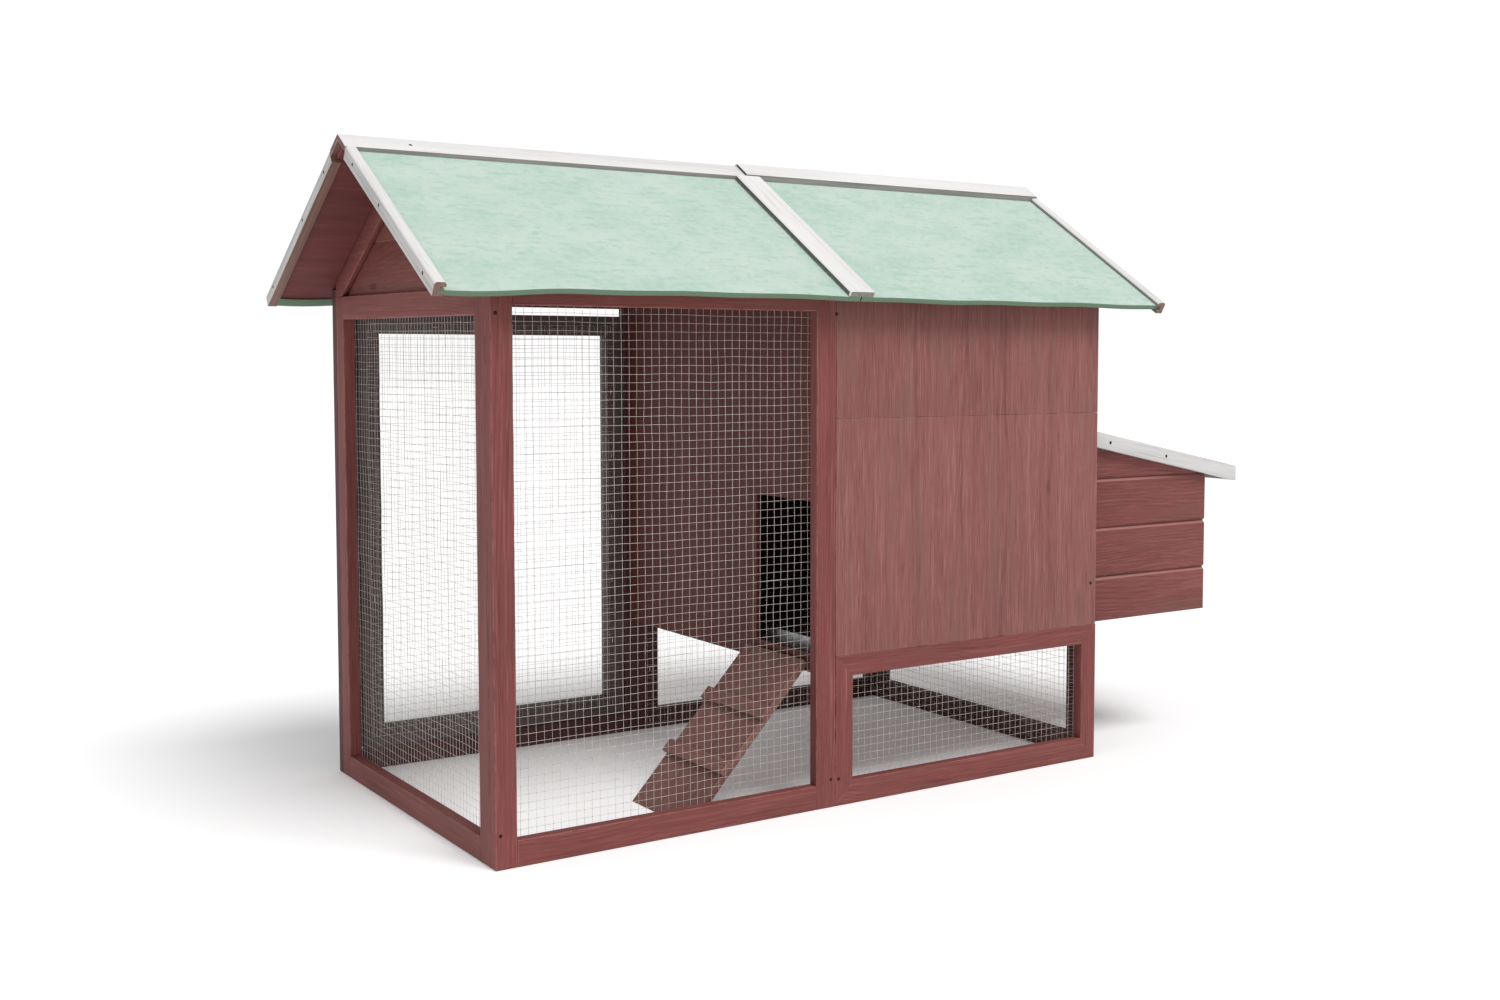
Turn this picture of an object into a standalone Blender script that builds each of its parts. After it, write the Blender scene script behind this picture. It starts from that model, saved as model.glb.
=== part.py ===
"""Chicken coop with an open mesh run, a raised house, a nest box and a gable roof.

Metres, +Z up.  X runs along the ridge from the run to the nest box, Y from the front to the back.
The origin lies on the ground, under the middle of the coop's overall length and depth.
"""

import math

import bmesh
import bpy
from mathutils import Matrix, Vector

# ---- Driving dimensions -------------------------------------------------------------------------
RUN_LENGTH = 0.599
HOUSE_LENGTH = 0.589
BODY_DEPTH = 0.710
RIDGE_HEIGHT = 1.100
ROOF_PITCH = math.radians(31.0)
ROOF_OVERHANG_LEFT = 0.100
ROOF_OVERHANG_RIGHT = 0.122
EAVE_OVERHANG = 0.042
LID_REACH = 0.412
NEST_REACH = 0.337

TIMBER = 0.020
STILE_WIDTH = 0.034
POST_WIDTH = 0.038
END_STILE_WIDTH = 0.038
BASE_RAIL_HEIGHT = 0.040
END_BASE_RAIL_HEIGHT = 0.038
BACK_RAIL_HEIGHT = 0.036
TOP_RAIL_HEIGHT = 0.039
END_TOP_RAIL_HEIGHT = 0.040
END_RAIL_DROP = 0.013
BACK_TOP_RAIL_HEIGHT = 0.024
GABLE_BOARD = 0.010

LOWER_FRAME_ABOVE_FLOOR = 0.008
LOWER_MEMBER = 0.035
LOWER_SILL = 0.040
FRONT_PANEL_THICKNESS = 0.012
PANEL_STEP = 0.0015
PARTITION_SETBACK = 0.029
PARTITION_THICKNESS = 0.008
PARTITION_BELOW_FLOOR = 0.020
FLOOR_THICKNESS = 0.010
FLOOR_TOP = 0.245

HOLE_ABOVE_FLOOR = 0.012
HOLE_HEIGHT = 0.255
HOLE_WIDTH = 0.175
HOLE_EDGE = 0.030

SHEET_THICKNESS = 0.008
SHEET_JOINT = 0.002
JOINT_PAST_SEAM = 0.021
RIDGE_BOARD_WIDTH = 0.042
RIDGE_BOARD_THICKNESS = 0.010
BATTEN_WIDTH = 0.050
BATTEN_THICKNESS = 0.010
BATTEN_EASE = 0.002
TRIM_WIDTH = 0.018
TRIM_WALL = 0.009
TRIM_FLANGE = 0.008
TRIM_LIP = 0.006
TRIM_LIP_REACH = 0.015
TRIM_PAST_EAVE = 0.004
TRIM_ROUND = 0.005

DOOR_CLEARANCE = 0.0035
DOOR_HINGE_GAP = 0.0016
DOOR_MEMBER = 0.038
HINGE_LEAF = 0.0015
HINGE_LEAF_WIDTH = 0.022
HINGE_LENGTH = 0.060
HINGE_FROM_END = 0.110
KNUCKLE_RADIUS = 0.0032
HINGE_PIN_RADIUS = 0.0016
KNUCKLE_CLEARANCE = 0.0004
BUTTON_LENGTH = 0.070
BUTTON_WIDTH = 0.016
BUTTON_THICKNESS = 0.004

NEST_SETBACK = 0.045
NEST_ABOVE_FLOOR = 0.002
NEST_WALL = 0.012
NEST_HOLE_MARGIN = 0.050
NEST_HOLE_ABOVE_NEST = 0.025
NEST_HOLE_HEIGHT = 0.248
NEST_HEIGHT = 0.370
LID_FALL = 0.084
LID_THICKNESS = 0.018
LID_SIDE_OVERHANG = 0.014
LID_FROM_WALL = 0.004

TRAY_RIM = 0.029
TRAY_WALL = 0.0015
TRAY_SIDE_CLEARANCE = 0.003
TRAY_FRONT_THICKNESS = 0.014

RAMP_WIDTH = 0.187
RAMP_EDGE = 0.038
RAMP_THICKNESS = 0.012
RAMP_FOOT_RUN = 0.225
RAMP_ABOVE_FLOOR = 0.002
CLEAT_WIDTH = 0.024
CLEAT_THICKNESS = 0.008
CLEAT_PAST_SIDE = 0.006

MESH_SHEET = 0.0014
MESH_EDGE = 0.010
GAP = 0.0003
EASED_EDGE = 0.0010
SMOOTH_ANGLE = math.radians(35.0)

# ---- Planes worked out from them ----------------------------------------------------------------
OVERALL_LENGTH = ROOF_OVERHANG_LEFT + RUN_LENGTH + HOUSE_LENGTH + LID_REACH
LEFT = ROOF_OVERHANG_LEFT - OVERALL_LENGTH / 2
SEAM = LEFT + RUN_LENGTH
RIGHT = SEAM + HOUSE_LENGTH
FRONT = -BODY_DEPTH / 2
BACK = BODY_DEPTH / 2
ROOF_LEFT = LEFT - ROOF_OVERHANG_LEFT
ROOF_RIGHT = RIGHT + ROOF_OVERHANG_RIGHT
ROOF_JOINT = SEAM + JOINT_PAST_SEAM
EAVE = BACK + EAVE_OVERHANG
PITCH_TAN = math.tan(ROOF_PITCH)
PITCH_COS = math.cos(ROOF_PITCH)
PARTITION_LEFT = SEAM - PARTITION_SETBACK
PARTITION_RIGHT = PARTITION_LEFT + PARTITION_THICKNESS


def sheet_top(y):
    """Height of the roof sheets' upper face at a distance y from the ridge, either side."""
    return RIDGE_HEIGHT - (RIDGE_BOARD_THICKNESS + GAP) / PITCH_COS - abs(y) * PITCH_TAN


def sheet_under(y):
    return sheet_top(y) - SHEET_THICKNESS / PITCH_COS


def below_roof(y):
    """Top of a wall or rafter that carries the sheets."""
    return sheet_under(y) - GAP


WALL_TOP = below_roof(BACK)
RUN_OPENING_TOP = WALL_TOP - TOP_RAIL_HEIGHT
END_RAIL_TOP = WALL_TOP - END_RAIL_DROP
END_OPENING_TOP = END_RAIL_TOP - END_TOP_RAIL_HEIGHT
LOWER_FRAME_HEIGHT = FLOOR_TOP + LOWER_FRAME_ABOVE_FLOOR
HOLE_SILL = FLOOR_TOP + HOLE_ABOVE_FLOOR
NEST_BOTTOM = FLOOR_TOP + NEST_ABOVE_FLOOR
NEST_HOLE_SILL = NEST_BOTTOM + NEST_HOLE_ABOVE_NEST
NEST_HOLE_TOP = NEST_HOLE_SILL + NEST_HOLE_HEIGHT
LID_TOP_AT_WALL = NEST_BOTTOM + NEST_HEIGHT
LID_TOP_AT_END = LID_TOP_AT_WALL - LID_FALL
RAMP_TOP_HEIGHT = FLOOR_TOP + RAMP_ABOVE_FLOOR

# ---- Materials ----------------------------------------------------------------------------------
FINISHES = {
    "red_stain": ((0.200, 0.060, 0.052), 0.62, 0.0),
    "stained_ply": ((0.270, 0.108, 0.096), 0.66, 0.0),
    "dark_stain": ((0.080, 0.066, 0.062), 0.70, 0.0),
    "white_paint": ((0.760, 0.755, 0.745), 0.45, 0.0),
    "green_felt": ((0.560, 0.760, 0.640), 0.92, 0.0),
    "galvanised_wire": ((0.560, 0.550, 0.540), 0.40, 0.9),
    "galvanised_sheet": ((0.480, 0.490, 0.500), 0.45, 0.9),
    "zinc_steel": ((0.620, 0.620, 0.600), 0.35, 1.0),
}


def make_material(name):
    colour, roughness, metallic = FINISHES[name]
    material = bpy.data.materials.new(name)
    material.use_nodes = True
    shader = material.node_tree.nodes["Principled BSDF"]
    shader.inputs["Base Color"].default_value = (*colour, 1.0)
    shader.inputs["Roughness"].default_value = roughness
    shader.inputs["Metallic"].default_value = metallic
    material.diffuse_color = (*colour, 1.0)
    return material


# ---- Shape helpers ------------------------------------------------------------------------------
def ease_edges(obj, width):
    bevel = obj.modifiers.new("eased edges", "BEVEL")
    bevel.width = width
    bevel.segments = 1
    bevel.limit_method = "ANGLE"


def finish(obj, name, finish_name, eased):
    obj.name = name
    obj.data.name = name
    obj.data.materials.clear()
    obj.data.materials.append(MATERIALS[finish_name])
    if eased:
        ease_edges(obj, eased)
    for collection in list(obj.users_collection):
        collection.objects.unlink(obj)
    PARTS.objects.link(obj)
    return obj


def block(name, xs, ys, zs, finish_name="red_stain", eased=EASED_EDGE):
    """A straight piece between two planes along each axis."""
    size = Vector((xs[1] - xs[0], ys[1] - ys[0], zs[1] - zs[0]))
    centre = Vector((sum(xs), sum(ys), sum(zs))) / 2
    bpy.ops.mesh.primitive_cube_add(size=1.0, location=centre)
    obj = bpy.context.object
    obj.data.transform(Matrix.Diagonal((*size, 1.0)))
    return finish(obj, name, finish_name, eased)


def plain_box(xs, ys, zs):
    """A sharp-edged helper that is joined to a piece or cut from it."""
    return block("helper", xs, ys, zs, "red_stain", 0.0)


def outline_mesh(loops, depth):
    """A mesh of one closed outline, and any holes in it, from local z 0 to depth."""
    curve = bpy.data.curves.new("outline", "CURVE")
    curve.dimensions = "2D"
    curve.fill_mode = "BOTH"
    curve.extrude = depth / 2
    for loop in loops:
        spline = curve.splines.new("POLY")
        spline.points.add(len(loop) - 1)
        for point, (u, v) in zip(spline.points, loop):
            point.co = (u, v, 0.0, 1.0)
        spline.use_cyclic_u = True
    guide = bpy.data.objects.new("outline", curve)
    PARTS.objects.link(guide)
    bpy.context.view_layer.update()
    graph = bpy.context.evaluated_depsgraph_get()
    mesh = bpy.data.meshes.new_from_object(guide.evaluated_get(graph))
    bpy.data.objects.remove(guide)
    bpy.data.curves.remove(curve)
    shape = bmesh.new()
    shape.from_mesh(mesh)
    bmesh.ops.remove_doubles(shape, verts=shape.verts, dist=1e-5)
    bmesh.ops.dissolve_limit(shape, angle_limit=1e-4, verts=shape.verts, edges=shape.edges)
    bmesh.ops.translate(shape, verts=shape.verts, vec=(0.0, 0.0, depth / 2))
    shape.to_mesh(mesh)
    shape.free()
    return mesh


def basis(x_axis, y_axis, origin):
    x_axis = Vector(x_axis)
    y_axis = Vector(y_axis)
    turn = Matrix((x_axis, y_axis, x_axis.cross(y_axis))).transposed().to_4x4()
    return Matrix.Translation(origin) @ turn


def prism(name, loops, depth, where, finish_name, eased=0.0):
    """An outline pushed through its own thickness, placed by a basis matrix."""
    mesh = outline_mesh(loops, depth)
    mesh.transform(where)
    obj = bpy.data.objects.new(name, mesh)
    PARTS.objects.link(obj)
    return finish(obj, name, finish_name, eased)


def across_x(name, loops, xs, finish_name="red_stain", eased=0.0):
    """Outlines in (y, z), running along X."""
    where = basis((0, 1, 0), (0, 0, 1), (xs[0], 0, 0))
    return prism(name, loops, xs[1] - xs[0], where, finish_name, eased)


def across_y(name, loops, ys, finish_name="red_stain", eased=0.0):
    """Outlines in (x, z), running along Y."""
    where = basis((1, 0, 0), (0, 0, 1), (0, ys[1], 0))
    return prism(name, loops, ys[1] - ys[0], where, finish_name, eased)


def rectangle(us, vs):
    return [(us[0], vs[0]), (us[1], vs[0]), (us[1], vs[1]), (us[0], vs[1])]


def boolean(obj, other, operation):
    """Joins a helper to a piece, or cuts it away, and leaves the result as plain mesh."""
    modifier = obj.modifiers.new(operation.lower(), "BOOLEAN")
    modifier.operation = operation
    modifier.solver = "EXACT"
    modifier.object = other
    bpy.context.view_layer.update()
    graph = bpy.context.evaluated_depsgraph_get()
    mesh = bpy.data.meshes.new_from_object(obj.evaluated_get(graph))
    obj.modifiers.clear()
    obj.data = mesh
    bpy.data.objects.remove(other)


def set_origin(obj, point):
    """Moves a piece's origin onto its joint axis without moving the piece."""
    obj.data.transform(Matrix.Translation(-Vector(point)) @ obj.matrix_world)
    obj.matrix_world = Matrix.Translation(point)


def joint_empty(name, point):
    empty = bpy.data.objects.new(name, None)
    empty.empty_display_size = 0.05
    empty.location = point
    PARTS.objects.link(empty)
    return empty


def hang(empty, *pieces):
    """Parents pieces to the empty that marks their joint axis."""
    bpy.context.view_layer.update()
    for piece in pieces:
        piece.parent = empty
        piece.matrix_parent_inverse = empty.matrix_world.inverted()


# ---- Run: front panel, end panel and gable --------------------------------------------------------
def make_front_run_panel():
    ys = (FRONT, FRONT + TIMBER)
    rail_xs = (LEFT + STILE_WIDTH + GAP, SEAM - POST_WIDTH - GAP)
    block("front_left_stile", (LEFT, LEFT + STILE_WIDTH), ys, (0.0, WALL_TOP))
    block("front_centre_post", (SEAM - POST_WIDTH, SEAM), ys, (0.0, WALL_TOP))
    block("front_base_rail", rail_xs, ys, (0.0, BASE_RAIL_HEIGHT))
    block("front_top_rail", rail_xs, ys, (RUN_OPENING_TOP, WALL_TOP))
    mesh_xs = (LEFT + TIMBER + MESH_SHEET + 2 * GAP, PARTITION_LEFT - GAP)
    mesh_ys = (ys[1] + GAP, ys[1] + GAP + MESH_SHEET)
    mesh_zs = (MESH_EDGE, WALL_TOP - MESH_EDGE)
    block("front_run_mesh", mesh_xs, mesh_ys, mesh_zs, "galvanised_wire", 0.0)


def make_end_panel():
    xs = (LEFT, LEFT + TIMBER)
    near = FRONT + TIMBER + GAP
    far = BACK - TIMBER - GAP
    rail_ys = (near + END_STILE_WIDTH + GAP, far - END_STILE_WIDTH - GAP)
    block("end_near_stile", xs, (near, near + END_STILE_WIDTH), (0.0, END_RAIL_TOP))
    block("end_far_stile", xs, (far - END_STILE_WIDTH, far), (0.0, END_RAIL_TOP))
    block("end_base_rail", xs, rail_ys, (0.0, END_BASE_RAIL_HEIGHT))
    block("end_top_rail", xs, rail_ys, (END_OPENING_TOP, END_RAIL_TOP))
    mesh_xs = (xs[1] + GAP, xs[1] + GAP + MESH_SHEET)
    mesh_zs = (MESH_EDGE, END_RAIL_TOP - MESH_EDGE)
    block("end_run_mesh", mesh_xs, (near + GAP, far - GAP), mesh_zs, "galvanised_wire", 0.0)


def gable_outline(inset, bottom):
    """Outline in (y, z) under both roof slopes, down to a level bottom edge."""
    side = BACK - inset
    return [
        (-side, bottom),
        (side, bottom),
        (side, below_roof(side)),
        (0.0, below_roof(0.0)),
        (-side, below_roof(side)),
    ]


def make_left_gable():
    """A rafter along each slope, standing proud of the infill boards between them."""
    bottom = END_RAIL_TOP + GAP
    gable = across_x("left_gable", [gable_outline(TIMBER + GAP, bottom)], (LEFT, LEFT + TIMBER))
    drop = POST_WIDTH / PITCH_COS
    peak = below_roof(0.0) - drop
    low = bottom - drop
    foot = (peak - low) / PITCH_TAN
    pocket = [(-foot, low), (foot, low), (0.0, peak)]
    pocket_xs = (LEFT - TIMBER, LEFT + TIMBER - GABLE_BOARD)
    boolean(gable, across_x("pocket", [pocket], pocket_xs), "DIFFERENCE")


# ---- Back of the run ----------------------------------------------------------------------------
def make_back_frame():
    ys = (BACK - TIMBER, BACK)
    rail_xs = (LEFT + STILE_WIDTH + GAP, SEAM - POST_WIDTH - GAP)
    block("back_left_post", (LEFT, LEFT + STILE_WIDTH), ys, (0.0, WALL_TOP))
    block("back_centre_post", (SEAM - POST_WIDTH, SEAM), ys, (0.0, WALL_TOP))
    block("back_base_rail", rail_xs, ys, (0.0, BACK_RAIL_HEIGHT))
    block("back_top_rail", rail_xs, ys, (WALL_TOP - BACK_TOP_RAIL_HEIGHT, WALL_TOP))


# ---- Run door -----------------------------------------------------------------------------------
DOOR_XS = (LEFT + STILE_WIDTH + DOOR_HINGE_GAP, SEAM - POST_WIDTH - DOOR_CLEARANCE)
DOOR_ZS = (BACK_RAIL_HEIGHT + DOOR_CLEARANCE, RUN_OPENING_TOP)
DOOR_AXIS = (LEFT + STILE_WIDTH + DOOR_HINGE_GAP / 2, BACK + GAP + KNUCKLE_RADIUS)


def cylinder(name, centre, axis, radius, length):
    bpy.ops.mesh.primitive_cylinder_add(vertices=24, radius=radius, depth=length)
    obj = bpy.context.object
    turn = Vector((0, 0, 1)).rotation_difference(Vector(axis)).to_matrix().to_4x4()
    obj.data.transform(Matrix.Translation(centre) @ turn)
    return finish(obj, name, "zinc_steel", 0.0)


def leaf_outline(side):
    """Section of a hinge leaf with its rolled barrel, seen along the pin, round the pin's axis.

    The leaf lies on the local y = -KNUCKLE_RADIUS plane and reaches out to x = side * its width.
    """
    steps = 18
    meet = math.asin(HINGE_LEAF / KNUCKLE_RADIUS - 1.0)
    sweep = 1.5 * math.pi - meet
    points = [(HINGE_LEAF_WIDTH, HINGE_LEAF - KNUCKLE_RADIUS), (HINGE_LEAF_WIDTH, -KNUCKLE_RADIUS)]
    for step in range(steps + 1):
        angle = 1.5 * math.pi - sweep * step / steps
        points.append((KNUCKLE_RADIUS * math.cos(angle), KNUCKLE_RADIUS * math.sin(angle)))
    return [(side * u, v) for u, v in points]


def make_door():
    door_ys = (BACK - TIMBER, BACK)
    window_xs = (DOOR_XS[0] + DOOR_MEMBER, DOOR_XS[1] - DOOR_MEMBER)
    window_zs = (DOOR_ZS[0] + DOOR_MEMBER, DOOR_ZS[1] - DOOR_MEMBER)
    loops = [rectangle(DOOR_XS, DOOR_ZS), rectangle(window_xs, window_zs)]
    frame = across_y("door_frame", loops, door_ys, "dark_stain", EASED_EDGE)
    mesh_xs = (DOOR_XS[0] + DOOR_MEMBER / 2, DOOR_XS[1] - DOOR_MEMBER / 2)
    mesh_zs = (DOOR_ZS[0] + DOOR_MEMBER / 2, DOOR_ZS[1] - DOOR_MEMBER / 2)
    mesh_ys = (door_ys[0] - GAP - MESH_SHEET, door_ys[0] - GAP)
    wires = block("door_mesh", mesh_xs, mesh_ys, mesh_zs, "galvanised_wire", 0.0)
    pieces = [frame, wires]
    levels = {"lower": DOOR_ZS[0] + HINGE_FROM_END, "upper": DOOR_ZS[1] - HINGE_FROM_END}
    for level, z in levels.items():
        pieces.append(make_door_hinge(level, z))
    hang(joint_empty("door_axis", (*DOOR_AXIS, DOOR_ZS[0])), *pieces)


def make_door_hinge(level, z):
    """One butt hinge: the post's leaf has the outer knuckles and the pin, the door's leaf the middle."""
    x, y = DOOR_AXIS
    low = z - HINGE_LENGTH / 2
    third = HINGE_LENGTH / 3
    reach = KNUCKLE_RADIUS + KNUCKLE_CLEARANCE
    where = basis((1, 0, 0), (0, 1, 0), (x, y, low))
    name = f"door_hinge_{level}_post_leaf"
    post_leaf = prism(name, [leaf_outline(-1)], HINGE_LENGTH, where, "zinc_steel")
    name = f"door_hinge_{level}_door_leaf"
    door_leaf = prism(name, [leaf_outline(1)], HINGE_LENGTH, where, "zinc_steel")
    cut_ys = (y - reach, y + reach)
    middle_zs = (low + third - KNUCKLE_CLEARANCE, low + 2 * third + KNUCKLE_CLEARANCE)
    boolean(post_leaf, plain_box((x - reach, x + reach), cut_ys, middle_zs), "DIFFERENCE")
    pin = cylinder("pin", (x, y, z), (0, 0, 1), HINGE_PIN_RADIUS, HINGE_LENGTH + HINGE_LEAF)
    boolean(post_leaf, pin, "UNION")
    for end_zs in ((low - third, low + third), (low + 2 * third, low + 4 * third)):
        boolean(door_leaf, plain_box((x - reach, x + reach), cut_ys, end_zs), "DIFFERENCE")
    bore = cylinder("bore", (x, y, z), (0, 0, 1), HINGE_PIN_RADIUS + GAP, HINGE_LENGTH)
    boolean(door_leaf, bore, "DIFFERENCE")
    return door_leaf


def make_turn_button():
    x = SEAM - POST_WIDTH / 2
    z = (DOOR_ZS[0] + DOOR_ZS[1]) / 2
    end = BUTTON_WIDTH / 2
    straight = BUTTON_LENGTH / 2 - end
    steps = 8
    outline = []
    for sign, start in ((1, 0.0), (-1, math.pi)):
        for step in range(steps + 1):
            angle = start + math.pi * step / steps
            outline.append((end * math.cos(angle), sign * straight + end * math.sin(angle)))
    ys = (BACK + 2 * GAP, BACK + 2 * GAP + BUTTON_THICKNESS)
    outline = [(x + u, z + v) for u, v in outline]
    button = across_y("turn_button", [outline], ys, "red_stain", 0.0)
    set_origin(button, (x, BACK, z))


# ---- House --------------------------------------------------------------------------------------
def make_house_front():
    ys = (FRONT, FRONT + TIMBER)
    xs = (SEAM + GAP, RIGHT)
    panel_xs = (xs[0], xs[1] - PANEL_STEP)
    panel_ys = (FRONT, FRONT + FRONT_PANEL_THICKNESS)
    block("house_front_panel", panel_xs, panel_ys, (LOWER_FRAME_HEIGHT + GAP, WALL_TOP), "stained_ply")
    make_lower_frame("lower_front_frame", xs, ys, LOWER_FRAME_HEIGHT)
    mesh_ys = (ys[1] + GAP, ys[1] + GAP + MESH_SHEET)
    make_lower_mesh("lower_front_mesh", mesh_ys)


def make_lower_frame(name, xs, ys, height):
    window_xs = (xs[0] + LOWER_MEMBER, xs[1] - LOWER_MEMBER)
    window_zs = (LOWER_SILL, height - LOWER_MEMBER)
    loops = [rectangle(xs, (0.0, height)), rectangle(window_xs, window_zs)]
    across_y(name, loops, ys, "red_stain", EASED_EDGE)


def make_lower_mesh(name, ys):
    xs = (SEAM + MESH_EDGE, RIGHT - TIMBER - MESH_SHEET - 3 * GAP)
    zs = (MESH_EDGE, FLOOR_TOP - FLOOR_THICKNESS - 2 * GAP)
    block(name, xs, ys, zs, "galvanised_wire", 0.0)


def make_house_back():
    ys = (BACK - TIMBER, BACK)
    xs = (SEAM + GAP, RIGHT)
    slot_top = FLOOR_TOP + TRAY_RIM + 4 * GAP
    panel_ys = (BACK - FRONT_PANEL_THICKNESS, BACK)
    panel_xs = (xs[0], xs[1] - PANEL_STEP)
    block("house_back_panel", panel_xs, panel_ys, (slot_top, WALL_TOP), "stained_ply")
    make_lower_frame("lower_back_frame", xs, ys, FLOOR_TOP)
    mesh_ys = (ys[0] - GAP - MESH_SHEET, ys[0] - GAP)
    make_lower_mesh("lower_back_mesh", mesh_ys)


def make_right_end():
    xs = (RIGHT - TIMBER, RIGHT)
    near = FRONT + TIMBER + GAP
    far = BACK - TIMBER - GAP
    inner_ys = (near + END_STILE_WIDTH + GAP, far - END_STILE_WIDTH - GAP)
    block("right_near_stile", xs, (near, near + END_STILE_WIDTH), (0.0, END_RAIL_TOP))
    block("right_far_stile", xs, (far - END_STILE_WIDTH, far), (0.0, END_RAIL_TOP))
    block("right_base_rail", xs, inner_ys, (0.0, BASE_RAIL_HEIGHT))
    wall_bottom = LOWER_FRAME_HEIGHT - LOWER_MEMBER
    shoulder = END_RAIL_TOP + GAP
    outline = [
        (inner_ys[0], wall_bottom),
        (inner_ys[1], wall_bottom),
        (inner_ys[1], shoulder),
        (far, shoulder),
        (far, below_roof(far)),
        (0.0, below_roof(0.0)),
        (near, below_roof(near)),
        (near, shoulder),
        (inner_ys[0], shoulder),
    ]
    nest_ys = (FRONT + NEST_SETBACK + NEST_HOLE_MARGIN, BACK - NEST_SETBACK - NEST_HOLE_MARGIN)
    hole = rectangle(nest_ys, (NEST_HOLE_SILL, NEST_HOLE_TOP))
    wall_xs = (RIGHT - FRONT_PANEL_THICKNESS, RIGHT)
    across_x("right_end_wall", [outline, hole], wall_xs, "stained_ply")
    mesh_xs = (xs[0] - GAP - MESH_SHEET, xs[0] - GAP)
    mesh_zs = (MESH_EDGE, FLOOR_TOP - FLOOR_THICKNESS - 2 * GAP)
    mesh_ys = (near + MESH_SHEET + GAP, far - MESH_SHEET - GAP)
    block("right_lower_mesh", mesh_xs, mesh_ys, mesh_zs, "galvanised_wire", 0.0)


def make_partition_and_floor():
    inset = TIMBER + GAP
    outline = gable_outline(inset, FLOOR_TOP - PARTITION_BELOW_FLOOR)
    hole_ys = (FRONT + HOLE_EDGE, FRONT + HOLE_EDGE + HOLE_WIDTH)
    hole = rectangle(hole_ys, (HOLE_SILL, HOLE_SILL + HOLE_HEIGHT))
    across_x("partition_wall", [outline, hole], (PARTITION_LEFT, PARTITION_RIGHT), "stained_ply")
    floor_xs = (PARTITION_RIGHT + GAP, RIGHT - TIMBER - GAP)
    floor_ys = (FRONT + inset, BACK - inset)
    block("house_floor", floor_xs, floor_ys, (FLOOR_TOP - FLOOR_THICKNESS, FLOOR_TOP), "stained_ply")


def make_tray():
    """A folded pan with a front strip that closes the slot under the back panel."""
    xs = (SEAM + TRAY_SIDE_CLEARANCE, RIGHT - TIMBER - TRAY_SIDE_CLEARANCE)
    ys = (FRONT + TIMBER + TRAY_SIDE_CLEARANCE, BACK - TIMBER - GAP)
    zs = (FLOOR_TOP + GAP, FLOOR_TOP + TRAY_RIM)
    pan = block("tray", xs, ys, zs, "galvanised_sheet", 0.0)
    hollow_xs = (xs[0] + TRAY_WALL, xs[1] - TRAY_WALL)
    hollow_ys = (ys[0] + TRAY_WALL, ys[1] - TRAY_WALL)
    hollow_zs = (zs[0] + TRAY_WALL, zs[1] + TRAY_RIM)
    boolean(pan, plain_box(hollow_xs, hollow_ys, hollow_zs), "DIFFERENCE")
    strip_ys = (ys[1] - TRAY_WALL / 2, ys[1] + TRAY_FRONT_THICKNESS)
    boolean(pan, plain_box(xs, strip_ys, zs), "UNION")
    set_origin(pan, (sum(xs) / 2, ys[1], zs[0]))


# ---- Ramp ---------------------------------------------------------------------------------------
def make_ramp():
    """The board turns about the upper edge of its walking face, clear of the partition."""
    slope = math.atan2(RAMP_TOP_HEIGHT, RAMP_FOOT_RUN)
    sine = math.sin(slope)
    cosine = math.cos(slope)
    top_x = PARTITION_LEFT - GAP - RAMP_THICKNESS * sine
    ground = GAP
    foot_x = top_x - (RAMP_TOP_HEIGHT - ground) / math.tan(slope)
    near = FRONT + RAMP_EDGE
    ys = (near, near + RAMP_WIDTH)
    outline = [
        (top_x, RAMP_TOP_HEIGHT),
        (foot_x, ground),
        (foot_x + RAMP_THICKNESS / sine, ground),
        (top_x + RAMP_THICKNESS * sine, RAMP_TOP_HEIGHT - RAMP_THICKNESS * cosine),
    ]
    board = across_y("ramp_board", [outline], ys, "red_stain", EASED_EDGE)
    length = RAMP_TOP_HEIGHT / sine
    down = Vector((-cosine, 0.0, -sine))
    normal = Vector((-sine, 0.0, cosine))
    pieces = [board]
    for name, share in (("ramp_cleat_upper", 1 / 3), ("ramp_cleat_lower", 2 / 3)):
        start = Vector((top_x, ys[0] - CLEAT_PAST_SIDE, RAMP_TOP_HEIGHT))
        start += down * (length * share - CLEAT_WIDTH / 2) + normal * GAP
        where = basis(down, normal, start)
        loop = rectangle((0.0, CLEAT_WIDTH), (0.0, CLEAT_THICKNESS))
        depth = RAMP_WIDTH + 2 * CLEAT_PAST_SIDE
        pieces.append(prism(name, [loop], depth, where, "red_stain", EASED_EDGE))
    hang(joint_empty("ramp_axis", (top_x, near + RAMP_WIDTH / 2, RAMP_TOP_HEIGHT)), *pieces)


# ---- Nest box -----------------------------------------------------------------------------------
LID_XS = (RIGHT + LID_FROM_WALL, RIGHT + LID_REACH)
LID_SLOPE = math.atan2(LID_TOP_AT_WALL - LID_TOP_AT_END, LID_XS[1] - LID_XS[0])
NEST_YS = (FRONT + NEST_SETBACK, BACK - NEST_SETBACK)
NEST_END = RIGHT + NEST_REACH


def lid_top(x):
    return LID_TOP_AT_WALL - (x - LID_XS[0]) * math.tan(LID_SLOPE)


def lid_under(x):
    return lid_top(x) - LID_THICKNESS / math.cos(LID_SLOPE)


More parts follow.
